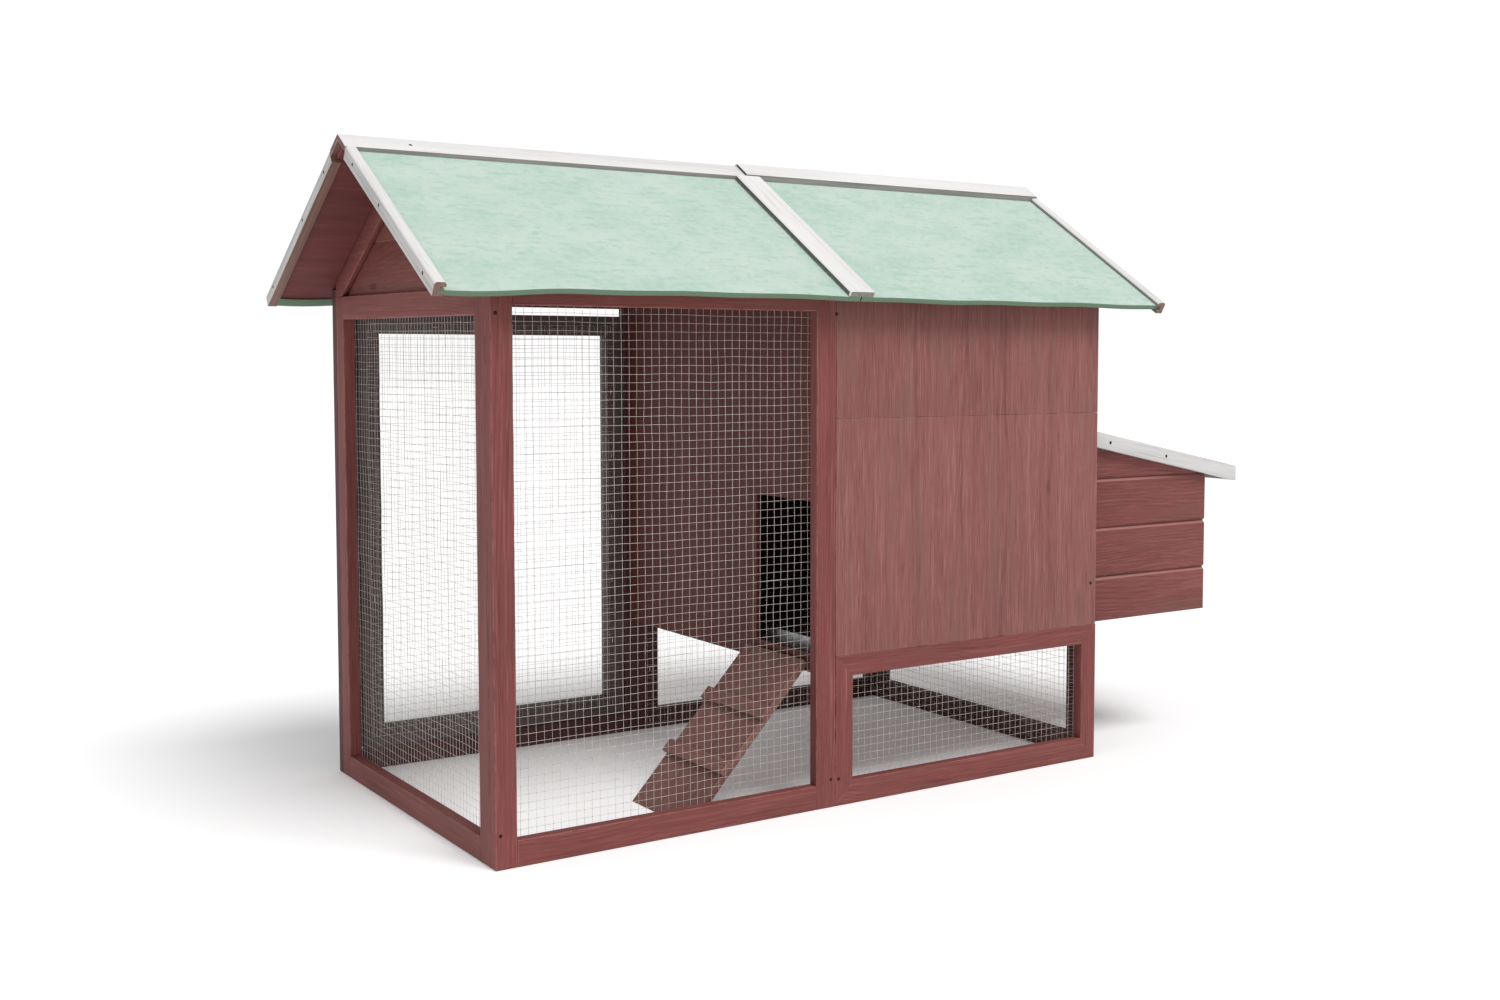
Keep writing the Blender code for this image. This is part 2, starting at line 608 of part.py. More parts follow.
def make_nest_box():
    wall_left = RIGHT + GAP
    side = [
        (wall_left, NEST_BOTTOM),
        (NEST_END, NEST_BOTTOM),
        (NEST_END, lid_under(NEST_END) - GAP),
        (wall_left, lid_under(wall_left) - GAP),
    ]
    across_y("nest_front_side", [side], (NEST_YS[0], NEST_YS[0] + NEST_WALL))
    across_y("nest_back_side", [side], (NEST_YS[1] - NEST_WALL, NEST_YS[1]))
    inner_ys = (NEST_YS[0] + NEST_WALL + GAP, NEST_YS[1] - NEST_WALL - GAP)
    end_left = NEST_END - NEST_WALL
    end = [
        (end_left, NEST_BOTTOM),
        (NEST_END, NEST_BOTTOM),
        (NEST_END, lid_under(NEST_END) - GAP),
        (end_left, lid_under(end_left) - GAP),
    ]
    across_y("nest_end_wall", [end], inner_ys)
    floor_zs = (NEST_BOTTOM, NEST_BOTTOM + FLOOR_THICKNESS)
    block("nest_floor", (wall_left, end_left - GAP), inner_ys, floor_zs, "stained_ply")


def make_lid():
    ys = (NEST_YS[0] - LID_SIDE_OVERHANG, NEST_YS[1] + LID_SIDE_OVERHANG)
    x0, x1 = LID_XS
    shift = LID_THICKNESS * math.sin(LID_SLOPE)
    outline = [
        (x0, lid_top(x0)),
        (x0, lid_under(x0)),
        (x1 - shift, lid_top(x1) - LID_THICKNESS * math.cos(LID_SLOPE)),
        (x1, lid_top(x1)),
    ]
    lid = across_y("nest_lid", [outline], ys, "green_felt", EASED_EDGE)
    axis = (RIGHT + GAP + KNUCKLE_RADIUS, LID_TOP_AT_WALL + GAP + KNUCKLE_RADIUS)
    set_origin(lid, (axis[0], 0.0, axis[1]))
    spacing = BODY_DEPTH / 2 - NEST_SETBACK
    for side, y in (("front", -spacing / 2), ("back", spacing / 2)):
        where = basis((0, 0, 1), (1, 0, 0), (axis[0], y - HINGE_LENGTH / 2, axis[1]))
        name = f"lid_hinge_{side}"
        prism(name, [leaf_outline(1)], HINGE_LENGTH, where, "zinc_steel")


# ---- Roof ---------------------------------------------------------------------------------------
def roof_strip(sign, start, end, low, high):
    """Outline in (y, z) of a layer on one slope, between two distances from the ridge.

    low and high are the layer's faces, measured square to the slope from the sheets' upper face.
    """
    rise = [(start, low), (end, low), (end, high), (start, high)]
    return [(sign * y, sheet_top(y) + offset / PITCH_COS) for y, offset in rise]


def slope_basis(sign, x, distance):
    """Local X along world X, local Y square to the slope, running down towards one eave."""
    down = Vector((0.0, sign * PITCH_COS, -math.sin(ROOF_PITCH)))
    normal = Vector((0.0, sign * math.sin(ROOF_PITCH), PITCH_COS))
    start = Vector((x, sign * distance, sheet_top(distance)))
    return Vector((1.0, 0.0, 0.0)), normal, down, start


def slope_prism(name, outline, sign, x, start, length, finish_name, eased):
    """An outline in (x, height above the sheet) that runs down one slope."""
    x_axis, normal, down, origin = slope_basis(sign, x, start)
    if x_axis.cross(normal).dot(down) < 0:
        origin = origin + down * length
    where = basis(x_axis, normal, origin)
    return prism(name, [outline], length, where, finish_name, eased)


def trim_outline(outward):
    """C section that grips the sheet's edge: rounded flange on top, shorter lip below."""
    slot_top = GAP
    slot_bottom = -SHEET_THICKNESS - GAP
    top = TRIM_FLANGE
    bottom = slot_bottom - TRIM_LIP
    outer = 0.0
    steps = 4
    points = [(TRIM_LIP_REACH, bottom), (TRIM_LIP_REACH, slot_bottom), (TRIM_WALL, slot_bottom)]
    points += [(TRIM_WALL, slot_top), (TRIM_WIDTH, slot_top)]
    for step in range(steps + 1):
        angle = math.pi / 2 * step / steps
        u = TRIM_WIDTH - TRIM_ROUND + TRIM_ROUND * math.cos(angle)
        points.append((u, top - TRIM_ROUND + TRIM_ROUND * math.sin(angle)))
    for step in range(steps + 1):
        angle = math.pi / 2 + math.pi / 2 * step / steps
        u = outer + TRIM_ROUND + TRIM_ROUND * math.cos(angle)
        points.append((u, top - TRIM_ROUND + TRIM_ROUND * math.sin(angle)))
    points.append((outer, bottom))
    return points if outward < 0 else [(-u, v) for u, v in reversed(points)]


def make_roof():
    ridge_foot = RIDGE_BOARD_WIDTH * PITCH_COS
    sheet_xs = {
        "left": (ROOF_LEFT + TRIM_WALL + GAP, ROOF_JOINT - SHEET_JOINT / 2),
        "right": (ROOF_JOINT + SHEET_JOINT / 2, ROOF_RIGHT - TRIM_WALL - GAP),
    }
    board_xs = {
        "left": (ROOF_LEFT, ROOF_JOINT - GAP / 2),
        "right": (ROOF_JOINT + GAP / 2, ROOF_RIGHT),
    }
    trim_start = ridge_foot + GAP
    trim_length = (EAVE - trim_start) / PITCH_COS + TRIM_PAST_EAVE / PITCH_COS
    batten = rectangle((-BATTEN_WIDTH / 2, BATTEN_WIDTH / 2), (GAP, BATTEN_THICKNESS))
    batten_length = (EAVE - trim_start) / PITCH_COS
    for slope, sign in (("front", -1), ("back", 1)):
        for half in ("left", "right"):
            sheet = roof_strip(sign, GAP / 2, EAVE, -SHEET_THICKNESS, 0.0)
            across_x(f"roof_sheet_{slope}_{half}", [sheet], sheet_xs[half], "green_felt")
            board = roof_strip(sign, GAP / 2, ridge_foot, GAP, RIDGE_BOARD_THICKNESS + GAP)
            name = f"ridge_board_{slope}_{half}"
            across_x(name, [board], board_xs[half], "white_paint", EASED_EDGE)
        for half, x, outward in (("left", ROOF_LEFT, -1), ("right", ROOF_RIGHT, 1)):
            name = f"gable_trim_{slope}_{half}"
            outline = trim_outline(outward)
            slope_prism(name, outline, sign, x, trim_start, trim_length, "white_paint", 0.0)
        name = f"joint_batten_{slope}"
        slope_prism(name, batten, sign, ROOF_JOINT, trim_start, batten_length, "white_paint", BATTEN_EASE)


def smooth_round_pieces():
    for obj in PARTS.objects:
        if obj.type == "MESH":
            obj.data.shade_smooth()
            obj.data.set_sharp_from_angle(angle=SMOOTH_ANGLE)


for leftover in list(bpy.data.objects):
    bpy.data.objects.remove(leftover)
PARTS = bpy.data.collections.new("chicken_coop")
bpy.context.scene.collection.children.link(PARTS)
MATERIALS = {name: make_material(name) for name in FINISHES}

make_front_run_panel()
make_end_panel()
make_left_gable()
make_back_frame()
make_door()
make_turn_button()
make_house_front()
make_house_back()
make_right_end()
make_partition_and_floor()
make_tray()
make_ramp()
make_nest_box()
make_lid()
make_roof()
smooth_round_pieces()
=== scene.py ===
import math

import bmesh
import bpy
from mathutils import Matrix, Vector


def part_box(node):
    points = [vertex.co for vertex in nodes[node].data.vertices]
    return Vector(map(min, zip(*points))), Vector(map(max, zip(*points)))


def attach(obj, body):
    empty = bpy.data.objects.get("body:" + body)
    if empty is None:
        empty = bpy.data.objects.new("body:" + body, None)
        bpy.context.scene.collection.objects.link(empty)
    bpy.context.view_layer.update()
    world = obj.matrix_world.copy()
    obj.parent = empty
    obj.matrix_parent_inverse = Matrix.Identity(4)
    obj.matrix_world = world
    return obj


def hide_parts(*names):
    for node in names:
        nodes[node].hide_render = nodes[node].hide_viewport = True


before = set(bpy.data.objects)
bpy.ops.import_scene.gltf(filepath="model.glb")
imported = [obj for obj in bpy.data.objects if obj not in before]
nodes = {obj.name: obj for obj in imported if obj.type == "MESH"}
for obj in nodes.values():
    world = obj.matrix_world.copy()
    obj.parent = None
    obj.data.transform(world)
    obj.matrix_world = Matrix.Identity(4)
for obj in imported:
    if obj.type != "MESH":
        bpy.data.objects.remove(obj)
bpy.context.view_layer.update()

# ---- Run timbers --------------------------------------------------------------------------------
# Stiles, posts and rails of the run and of the house's ends, and the door's turn button: planed
# softwood laths, 20 mm thick, dipped in a red-brown stain that rubs thin on the edges. The laths at
# the back and the right end get a darker, nearly brown copy of the stain: painted shade, as they
# stand in shadow inside the coop.
LATHS = {
    "X": ("front_base_rail", "front_top_rail"),
    "Y": ("end_base_rail", "end_top_rail"),
    "Z": ("front_left_stile", "front_centre_post", "end_near_stile", "end_far_stile", "turn_button"),
}
SHADOWED_LATHS = {
    "X": ("back_base_rail", "back_top_rail"),
    "Y": ("right_base_rail",),
    "Z": ("back_left_post", "back_centre_post", "right_near_stile", "right_far_stile"),
}
RED_DEEP = (0.086, 0.019, 0.017)
RED_MID = (0.199, 0.050, 0.045)
RED_PALE = (0.302, 0.101, 0.090)
RED_WORN = (0.440, 0.215, 0.190)
# Painted shade: darker tones of the stain for the laths that stand in shadow.
SHADOWED_SHADES = (
    (0.040, 0.012, 0.011),
    (0.082, 0.027, 0.024),
    (0.135, 0.055, 0.050),
    (0.240, 0.120, 0.110),
)


def add_node(tree, kind, inputs=None, **settings):
    """A shader node with its settings; each input is given a value or a link by name or number."""
    made = tree.nodes.new(kind)
    for name, value in settings.items():
        setattr(made, name, value)
    for key, value in (inputs or {}).items():
        if isinstance(value, bpy.types.NodeSocket):
            tree.links.new(value, made.inputs[key])
        else:
            made.inputs[key].default_value = value
    return made


def calculate(tree, operation, first, second=0.0):
    inputs = {0: first, 1: second}
    return add_node(tree, "ShaderNodeMath", inputs, operation=operation).outputs[0]


def times(tree, first, second):
    return calculate(tree, "MULTIPLY", first, second)


def plus(tree, first, second):
    return calculate(tree, "ADD", first, second)


def stretch(tree, vector, scale):
    inputs = {0: vector, 1: scale}
    return add_node(tree, "ShaderNodeVectorMath", inputs, operation="MULTIPLY").outputs[0]


def coordinates(tree, kind="Object"):
    """Places on the piece in metres, or with kind "Normal" the way that each spot of it faces."""
    return add_node(tree, "ShaderNodeTexCoord").outputs[kind]


def split(tree, vector):
    return add_node(tree, "ShaderNodeSeparateXYZ", {0: vector}).outputs


def compose(tree, parts):
    return add_node(tree, "ShaderNodeCombineXYZ", dict(enumerate(parts))).outputs[0]


def noise(tree, vector, scale, detail=2.0):
    inputs = {"Vector": stretch(tree, vector, scale), "Scale": 1.0, "Detail": detail, "Roughness": 0.60}
    return add_node(tree, "ShaderNodeTexNoise", inputs).outputs["Fac"]


def ramp(tree, value, low, high, bottom=0.0, top=1.0):
    """Value brought from low..high to bottom..top, with soft ends."""
    inputs = {"Value": value, "From Min": low, "From Max": high, "To Min": bottom, "To Max": top}
    made = add_node(tree, "ShaderNodeMapRange", inputs, interpolation_type="SMOOTHSTEP")
    return made.outputs["Result"]


def blend_colours(tree, share, first, second):
    colours = [c if isinstance(c, bpy.types.NodeSocket) else (*c, 1.0) for c in (first, second)]
    inputs = {0: share, 6: colours[0], 7: colours[1]}
    return add_node(tree, "ShaderNodeMix", inputs, data_type="RGBA").outputs[2]


def tint(tree, colour, mask, low, high, share, toward):
    """Colour brought toward another by up to share, as the mask goes from low to high."""
    return blend_colours(tree, ramp(tree, mask, low, high, 0.0, share), colour, toward)


def shade(colour, share):
    """A paler or deeper tone of a colour."""
    return [share * c for c in colour]


def raise_surface(tree, shader, height, strength, distance):
    """Light falls on the surface as if it stood up by distance where height is one."""
    bump = {"Height": height, "Strength": strength, "Distance": distance}
    tree.links.new(add_node(tree, "ShaderNodeBump", bump).outputs[0], shader.inputs["Normal"])


def start_group(name, inputs, outputs):
    """A shader node group with float or vector inputs; gives its tree, its inputs and its outputs."""
    tree = bpy.data.node_groups.new(name, "ShaderNodeTree")
    for label, default in inputs.items():
        kind = "NodeSocketFloat" if isinstance(default, float) else "NodeSocketVector"
        socket = tree.interface.new_socket(label, in_out="INPUT", socket_type=kind)
        socket.default_value = default
    for label in outputs:
        tree.interface.new_socket(label, in_out="OUTPUT", socket_type="NodeSocketFloat")
    return tree, tree.nodes.new("NodeGroupInput").outputs, tree.nodes.new("NodeGroupOutput").inputs


def make_grain_group():
    """Softwood seen on a sawn face: growth lines, long streaks, fine fibre, blotches and knots.

    Place is in metres, with X along the grain. Line Edge is 0 for broad lines and near 1 for fine
    ones; Drift is how far they wander off straight.
    """
    origin = (0.0, 0.0, 0.0)
    inputs = {"Place": origin, "Line Spacing": 0.006, "Line Edge": 0.15, "Drift": 0.075, "Knots": 1.0}
    outputs = ("Line", "Streak", "Fibre", "Blotch", "Weather", "Knot")
    tree, given, wanted = start_group("Softwood grain", inputs, outputs)
    place = given["Place"]
    cell = stretch(tree, place, (5.0, 14.0, 14.0))
    cells = add_node(tree, "ShaderNodeTexVoronoi", {"Vector": cell, "Scale": 1.0}).outputs
    lot = add_node(tree, "ShaderNodeSeparateColor", {0: cells["Color"]}).outputs[0]
    here = times(tree, ramp(tree, lot, 0.52, 0.60), given["Knots"])
    swirl = times(tree, ramp(tree, cells["Distance"], 0.45, 0.02), here)
    knot = times(tree, ramp(tree, cells["Distance"], 0.11, 0.05), here)
    drift = noise(tree, place, (1.9, 6.5, 6.5), 1.0)
    parts = split(tree, place)
    across = plus(tree, parts[1], parts[2])
    across = plus(tree, across, times(tree, drift, given["Drift"]))
    across = plus(tree, across, times(tree, swirl, 0.012))
    turn = calculate(tree, "DIVIDE", across, given["Line Spacing"])
    wave = calculate(tree, "SINE", times(tree, turn, math.tau))
    line = ramp(tree, wave, given["Line Edge"], 1.0)
    fading = ramp(tree, noise(tree, place, (4.0, 40.0, 40.0)), 0.35, 0.65, 0.15, 1.0)
    tree.links.new(times(tree, line, fading), wanted["Line"])
    tree.links.new(noise(tree, place, (6.0, 190.0, 190.0), 4.0), wanted["Streak"])
    tree.links.new(noise(tree, place, (19.0, 560.0, 560.0), 3.0), wanted["Fibre"])
    tree.links.new(noise(tree, place, (2.2, 8.0, 8.0), 3.0), wanted["Blotch"])
    tree.links.new(noise(tree, place, (5.0, 38.0, 38.0), 4.0), wanted["Weather"])
    tree.links.new(knot, wanted["Knot"])
    return tree


def make_wear_and_shade_group():
    """Where an edge has been rubbed, broken up by noise, and painted shade in joints and crevices.

    At an edge the rounded normal leaves the flat one; in a joint nearby parts shut off the open air,
    and that ambient occlusion is painted as shade.
    """
    inputs = {"Width": 0.0016, "Amount": 1.0}
    tree, given, wanted = start_group("Rubbed edge and painted shade", inputs, ("Wear", "Painted Shade"))
    soft = add_node(tree, "ShaderNodeBevel", {"Radius": given["Width"]}, samples=4).outputs[0]
    flat = add_node(tree, "ShaderNodeNewGeometry").outputs["Normal"]
    alike = add_node(tree, "ShaderNodeVectorMath", {0: soft, 1: flat}, operation="DOT_PRODUCT")
    edge = ramp(tree, alike.outputs["Value"], 0.99, 0.86)
    place = coordinates(tree)
    patchy = ramp(tree, noise(tree, place, (28.0, 28.0, 28.0), 4.0), 0.36, 0.62)
    both = times(tree, edge, patchy)
    tree.links.new(times(tree, both, given["Amount"]), wanted["Wear"])
    # Painted shade: ambient occlusion from nearby parts darkens joints and crevices.
    open_air = add_node(tree, "ShaderNodeAmbientOcclusion", {"Distance": 0.012}, samples=6).outputs["AO"]
    tree.links.new(ramp(tree, open_air, 0.58, 0.20), wanted["Painted Shade"])
    return tree


GRAIN = make_grain_group()
WEAR_AND_SHADE = make_wear_and_shade_group()


def use_group(tree, group, inputs):
    made = tree.nodes.new("ShaderNodeGroup")
    made.node_tree = group
    for name, value in inputs.items():
        if isinstance(value, bpy.types.NodeSocket):
            tree.links.new(value, made.inputs[name])
        else:
            made.inputs[name].default_value = value
    return made.outputs


def start_material(name):
    material = bpy.data.materials.new(name)
    material.use_nodes = True
    return material, material.node_tree, material.node_tree.nodes["Principled BSDF"]


def grain_place(tree, along, course=None):
    """Object coordinates with the grain's direction first.

    course is (axis, start, width) of boards laid side by side: each board gets wood of its own.
    """
    parts = split(tree, coordinates(tree))
    order = ["XYZ".index(along)] + [i for i in range(3) if "XYZ"[i] != along]
    turned = compose(tree, [parts[i] for i in order])
    if course is None:
        return turned
    axis, start, width = course
    above = calculate(tree, "SUBTRACT", parts["XYZ".index(axis)], start)
    number = calculate(tree, "FLOOR", calculate(tree, "DIVIDE", above, width))
    shift = times(tree, number, 0.731)
    return add_node(tree, "ShaderNodeVectorMath", {0: turned, 1: shift}, operation="ADD").outputs[0]


def make_stain(
    name,
    place_of,
    shades,
    spacing=0.006,
    line_edge=0.15,
    line_depth=0.42,
    drift=0.075,
    knots=1.0,
    fineness=0.4,
    top_highlight=0.0,
):
    """Stained wood. place_of(tree) gives the coordinates with the grain first.

    shades are the deep, middle and pale tones of the stain and the tone of a rubbed edge.
    fineness is how strongly the fibre shows, and top_highlight how strongly faces that look up are
    painted paler, a painted highlight for light from above, which also lessens the painted shade in
    joints.
    """
    deep, mid, pale, worn = shades
    material, tree, shader = start_material(name)
    grain = {"Place": place_of(tree), "Line Spacing": spacing, "Line Edge": line_edge}
    wood = use_group(tree, GRAIN, {**grain, "Drift": drift, "Knots": knots})
    colour = blend_colours(tree, ramp(tree, wood["Blotch"], 0.25, 0.62, 0.55, 1.0), deep, mid)
    colour = tint(tree, colour, wood["Streak"], 0.50, 0.78, 0.75, pale)
    colour = tint(tree, colour, wood["Streak"], 0.44, 0.26, 0.60, deep)
    colour = blend_colours(tree, times(tree, wood["Line"], line_depth), colour, deep)
    colour = tint(tree, colour, wood["Fibre"], 0.52, 0.72, fineness, pale)
    colour = tint(tree, colour, wood["Fibre"], 0.46, 0.28, fineness, deep)
    colour = blend_colours(tree, times(tree, wood["Knot"], 0.75), colour, shade(deep, 0.45))
    dusty = [0.84 * mid[0], 1.10 * mid[1], 1.02 * mid[2]]
    colour = tint(tree, colour, wood["Weather"], 0.48, 0.70, 0.60, dusty)
    edges = use_group(tree, WEAR_AND_SHADE, {"Width": 0.0022, "Amount": 0.85})
    colour = blend_colours(tree, edges["Wear"], colour, worn)
    # Painted shade: darker in joints and crevices, where nearby parts close in.
    joint_shade = times(tree, edges["Painted Shade"], 0.65 - 0.5 * top_highlight)
    colour = blend_colours(tree, joint_shade, colour, shade(deep, 0.30))
    # Painted highlight: faces that look up are paler, as if lit from above.
    if top_highlight:
        upward = split(tree, coordinates(tree, "Normal"))[2]
        colour = tint(tree, colour, upward, 0.25, 0.60, top_highlight, worn)
    tree.links.new(colour, shader.inputs["Base Color"])
    rough = plus(tree, times(tree, wood["Fibre"], 0.25), 0.50)
    tree.links.new(rough, shader.inputs["Roughness"])
    height = times(tree, wood["Streak"], 0.6)
    height = plus(tree, height, times(tree, wood["Fibre"], 0.25))
    height = calculate(tree, "SUBTRACT", height, times(tree, wood["Line"], 0.22))
    raise_surface(tree, shader, height, 0.35 + 0.6 * fineness, 0.0008)
    shader.inputs["Specular IOR Level"].default_value = 0.35
    return material


def coat(piece, material):
    piece.data.materials.clear()
    piece.data.materials.append(material)


def stains_along(axes, name, shades, **kind):
    """The same stain for wood whose grain runs along each of the axes."""
    return {
        along: make_stain(f"{name} {along}", lambda tree, a=along: grain_place(tree, a), shades, **kind)
        for along in axes
    }


RED = stains_along("XYZ", "red stain", (RED_DEEP, RED_MID, RED_PALE, RED_WORN))
# The darker copy of the stain is painted shade.
SHADOWED = stains_along("XYZ", "shadowed red stain", SHADOWED_SHADES)
for stains, laths in ((RED, LATHS), (SHADOWED, SHADOWED_LATHS)):
    for along, names in laths.items():
        for name in names:
            coat(nodes[name], stains[along])

# ---- Gable over the run -------------------------------------------------------------------------
# Tongued-and-grooved boards laid level under the roof, set back behind a rafter on each slope.
# The boards took the stain a little deeper than the laths did.
PITCH = math.radians(31.0)
GABLE_COURSE = 0.086
GABLE_BOARD = 0.010
RAFTER_WIDTH = 0.038
GROOVE_EASE = 0.0018
gable_low, gable_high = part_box("left_gable")


def only(piece):
    """Makes a piece the one that operators act on."""
    bpy.ops.object.select_all(action="DESELECT")
    piece.select_set(True)
    bpy.context.view_layer.objects.active = piece


def lath(name, low, high):
    """A sawn piece between two corners, with its place in its mesh."""
    low, high = Vector(low), Vector(high)
    bpy.ops.object.select_all(action="DESELECT")
    bpy.ops.mesh.primitive_cube_add(size=1.0, location=(low + high) / 2, scale=high - low)
    piece = bpy.context.object
    piece.name = piece.data.name = name
    bpy.ops.object.transform_apply(location=True, rotation=True, scale=True)
    return piece


def trim_off(piece, point, outward):
    """Saws off what lies beyond a plane and closes the cut."""
    only(piece)
    bpy.ops.object.mode_set(mode="EDIT")
    bpy.ops.mesh.select_all(action="SELECT")
    bpy.ops.mesh.bisect(plane_co=point, plane_no=outward, use_fill=True, clear_outer=True)
    bpy.ops.object.mode_set(mode="OBJECT")


def ease(piece, width, segments=2):
    only(piece)
    bevel = piece.modifiers.new("eased", "BEVEL")
    bevel.width = width
    bevel.segments = segments
    bevel.limit_method = "ANGLE"
    bevel.angle_limit = math.radians(25.0)
    bpy.ops.object.modifier_apply(modifier="eased")
    bpy.ops.object.shade_smooth_by_angle(angle=math.radians(32.0))


def fit(piece, body, slot_name, material, *replaced):
    """Gives a finished piece its material and its place in the frame."""
    coat(piece, material)
    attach(piece, body)
    if replaced:
        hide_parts(*replaced)
    return piece


def slope_plane(side, drop):
    """A point on a roof slope lowered by drop, and the slope's upward normal."""
    apex = Vector((0.0, 0.0, gable_high.z - drop))
    return apex, Vector((0.0, side * math.sin(PITCH), math.cos(PITCH)))


GABLE_RED = make_stain(
    "gable boards",
    lambda tree: grain_place(tree, "Y", ("Z", gable_low.z, GABLE_COURSE)),
    ((0.092, 0.021, 0.018), (0.178, 0.046, 0.040), (0.250, 0.090, 0.078), RED_WORN),
    spacing=0.009,
)
board_front = gable_high.x - GABLE_BOARD
course_bottom = gable_low.z
number = 1
while course_bottom < gable_high.z - GABLE_BOARD:
    course_top = min(course_bottom + GABLE_COURSE, gable_high.z)
    low = (board_front, gable_low.y, course_bottom)
    board = lath(f"gable_board_{number}", low, (gable_high.x, gable_high.y, course_top))
    for side in (-1, 1):
        trim_off(board, *slope_plane(side, 0.0))
    ease(board, GROOVE_EASE)
    fit(board, "coop", "red_stain", GABLE_RED, "left_gable")
    course_bottom = course_top
    number += 1
for side, name in ((-1, "gable_rafter_front"), (1, "gable_rafter_back")):
    ys = sorted((0.0, side * gable_high.y))
    rafter = lath(name, (gable_low.x, ys[0], gable_low.z), (board_front, ys[1], gable_high.z))
    trim_off(rafter, *slope_plane(side, 0.0))
    under, upward = slope_plane(side, RAFTER_WIDTH / math.cos(PITCH))
    trim_off(rafter, under, -upward)
    ease(rafter, 0.0012)
    fit(rafter, "coop", "red_stain", RED["Y"], "left_gable")

# ---- Mitred frames ------------------------------------------------------------------------------
# The frames under the house and the run door are four laths each, cut at 45 degrees where they meet.
# The door's laths are a darker grey-brown, with the same planed face.
GREY_SHADES = (
    (0.058, 0.040, 0.040),
    (0.108, 0.074, 0.073),
    (0.160, 0.118, 0.115),
    (0.240, 0.190, 0.180),
)
GREY = stains_along("XZ", "grey stain", GREY_SHADES)


def pick(piece, wanted):
    """Enters edit mode with the points chosen that pass a test on their place."""
    only(piece)
    bpy.ops.object.mode_set(mode="EDIT")
    bpy.ops.mesh.select_mode(type="VERT")
    bpy.ops.mesh.select_all(action="DESELECT")
    shape = bmesh.from_edit_mesh(piece.data)
    for point in shape.verts:
        point.select_set(wanted(point.co))
    shape.select_flush(True)
    bmesh.update_edit_mesh(piece.data)


def shift_points(piece, wanted, move):
    pick(piece, wanted)
    bpy.ops.transform.translate(value=move)
    bpy.ops.object.mode_set(mode="OBJECT")


def mitred_member(name, low, high, along, inner, cuts):
    """A lath whose ends are cut back on its inner side.

    along is the axis it runs on and inner the sign of its inner side on the other axis.
    cuts are the lengths that the mitres take off at its low and high ends.
    """
    piece = lath(name, low, high)
    other = 2 if along == 0 else 0
    edge = high[other] if inner > 0 else low[other]
    for end, cut, sense in ((low[along], cuts[0], 1), (high[along], cuts[1], -1)):
        move = Vector((0.0, 0.0, 0.0))
        move[along] = sense * cut

        def at_inner_corner(place, end=end):
            return abs(place[along] - end) < 1e-5 and abs(place[other] - edge) < 1e-5

        shift_points(piece, at_inner_corner, move)
    ease(piece, 0.0009)
    return piece


def mitred_frame(node, stem, widths, body, slot_name, stains, play=0.0):
    """Four mitred laths in place of a CAD ring; widths are those of the stile, head and sill.

    play is how much the left side stands off, so that the frame swings freely.
    """
    low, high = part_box(node)
    low.x += play
    stile, head, sill = widths
    members = (
        ("left_stile", low, (low.x + stile, high.y, high.z), 2, 1, (sill, head)),
        ("right_stile", (high.x - stile, low.y, low.z), high, 2, -1, (sill, head)),
        ("sill", low, (high.x, high.y, low.z + sill), 0, 1, (stile, stile)),
        ("head", (low.x, low.y, high.z - head), high, 0, -1, (stile, stile)),
    )
    for name, start, end, along, inner, cuts in members:
        piece = mitred_member(f"{stem}_{name}", tuple(start), tuple(end), along, inner, cuts)
        fit(piece, body, slot_name, stains["Z" if along == 2 else "X"], node)


LOWER_WIDTHS = (0.035, 0.035, 0.040)
DOOR_WIDTHS = (0.038, 0.038, 0.038)
DOOR_PLAY = 0.0025
mitred_frame("lower_front_frame", "lower_front", LOWER_WIDTHS, "coop", "red_stain", RED)
# The back frame stands in shadow and takes the darker copy of the stain: painted shade.
mitred_frame("lower_back_frame", "lower_back", LOWER_WIDTHS, "coop", "red_stain", SHADOWED)
mitred_frame("door_frame", "door", DOOR_WIDTHS, "run_door", "dark_stain", GREY, DOOR_PLAY)

# ---- House walls --------------------------------------------------------------------------------
# Plywood, wire-brushed so that the soft grain is cut back, in the same stain, which dries pinker on
# it. The front is two sheets that meet at a level seam; the partition and floors get a darker copy of
# the stain, painted shade for the dim inside of the house and run.
PLY_SHADES = (
    (0.115, 0.034, 0.030),
    (0.234, 0.082, 0.074),
    (0.330, 0.144, 0.129),
    (0.400, 0.206, 0.185),
)
# Painted shade: darker tones of the ply stain for the partition and floors, out of the light.
SHADOWED_PLY_SHADES = (
    (0.048, 0.011, 0.009),
    (0.101, 0.022, 0.018),
    (0.150, 0.042, 0.035),
    (0.220, 0.090, 0.072),
)
PLY_GRAIN = {
    "spacing": 0.105,
    "line_edge": 0.955,
    "line_depth": 0.45,
    "drift": 0.10,
    "knots": 0.6,
    "fineness": 0.75,
}
PLY = stains_along("Z", "stained ply", PLY_SHADES, **PLY_GRAIN)
SHADOWED_PLY = stains_along("XYZ", "shadowed stained ply", SHADOWED_PLY_SHADES, **PLY_GRAIN)
FRONT_SEAM = 0.650
SEAM_GAP = 0.0004
low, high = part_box("house_front_panel")
for name, bottom, top in (
    ("house_front_lower_sheet", low.z, FRONT_SEAM - SEAM_GAP),
    ("house_front_upper_sheet", FRONT_SEAM, high.z),
):
    sheet = lath(name, (low.x, low.y, bottom), (high.x, high.y, top))
    ease(sheet, 0.0004)
    fit(sheet, "coop", "stained_ply", PLY["Z"], "house_front_panel")
for name in ("house_back_panel", "right_end_wall"):
    coat(nodes[name], PLY["Z"])
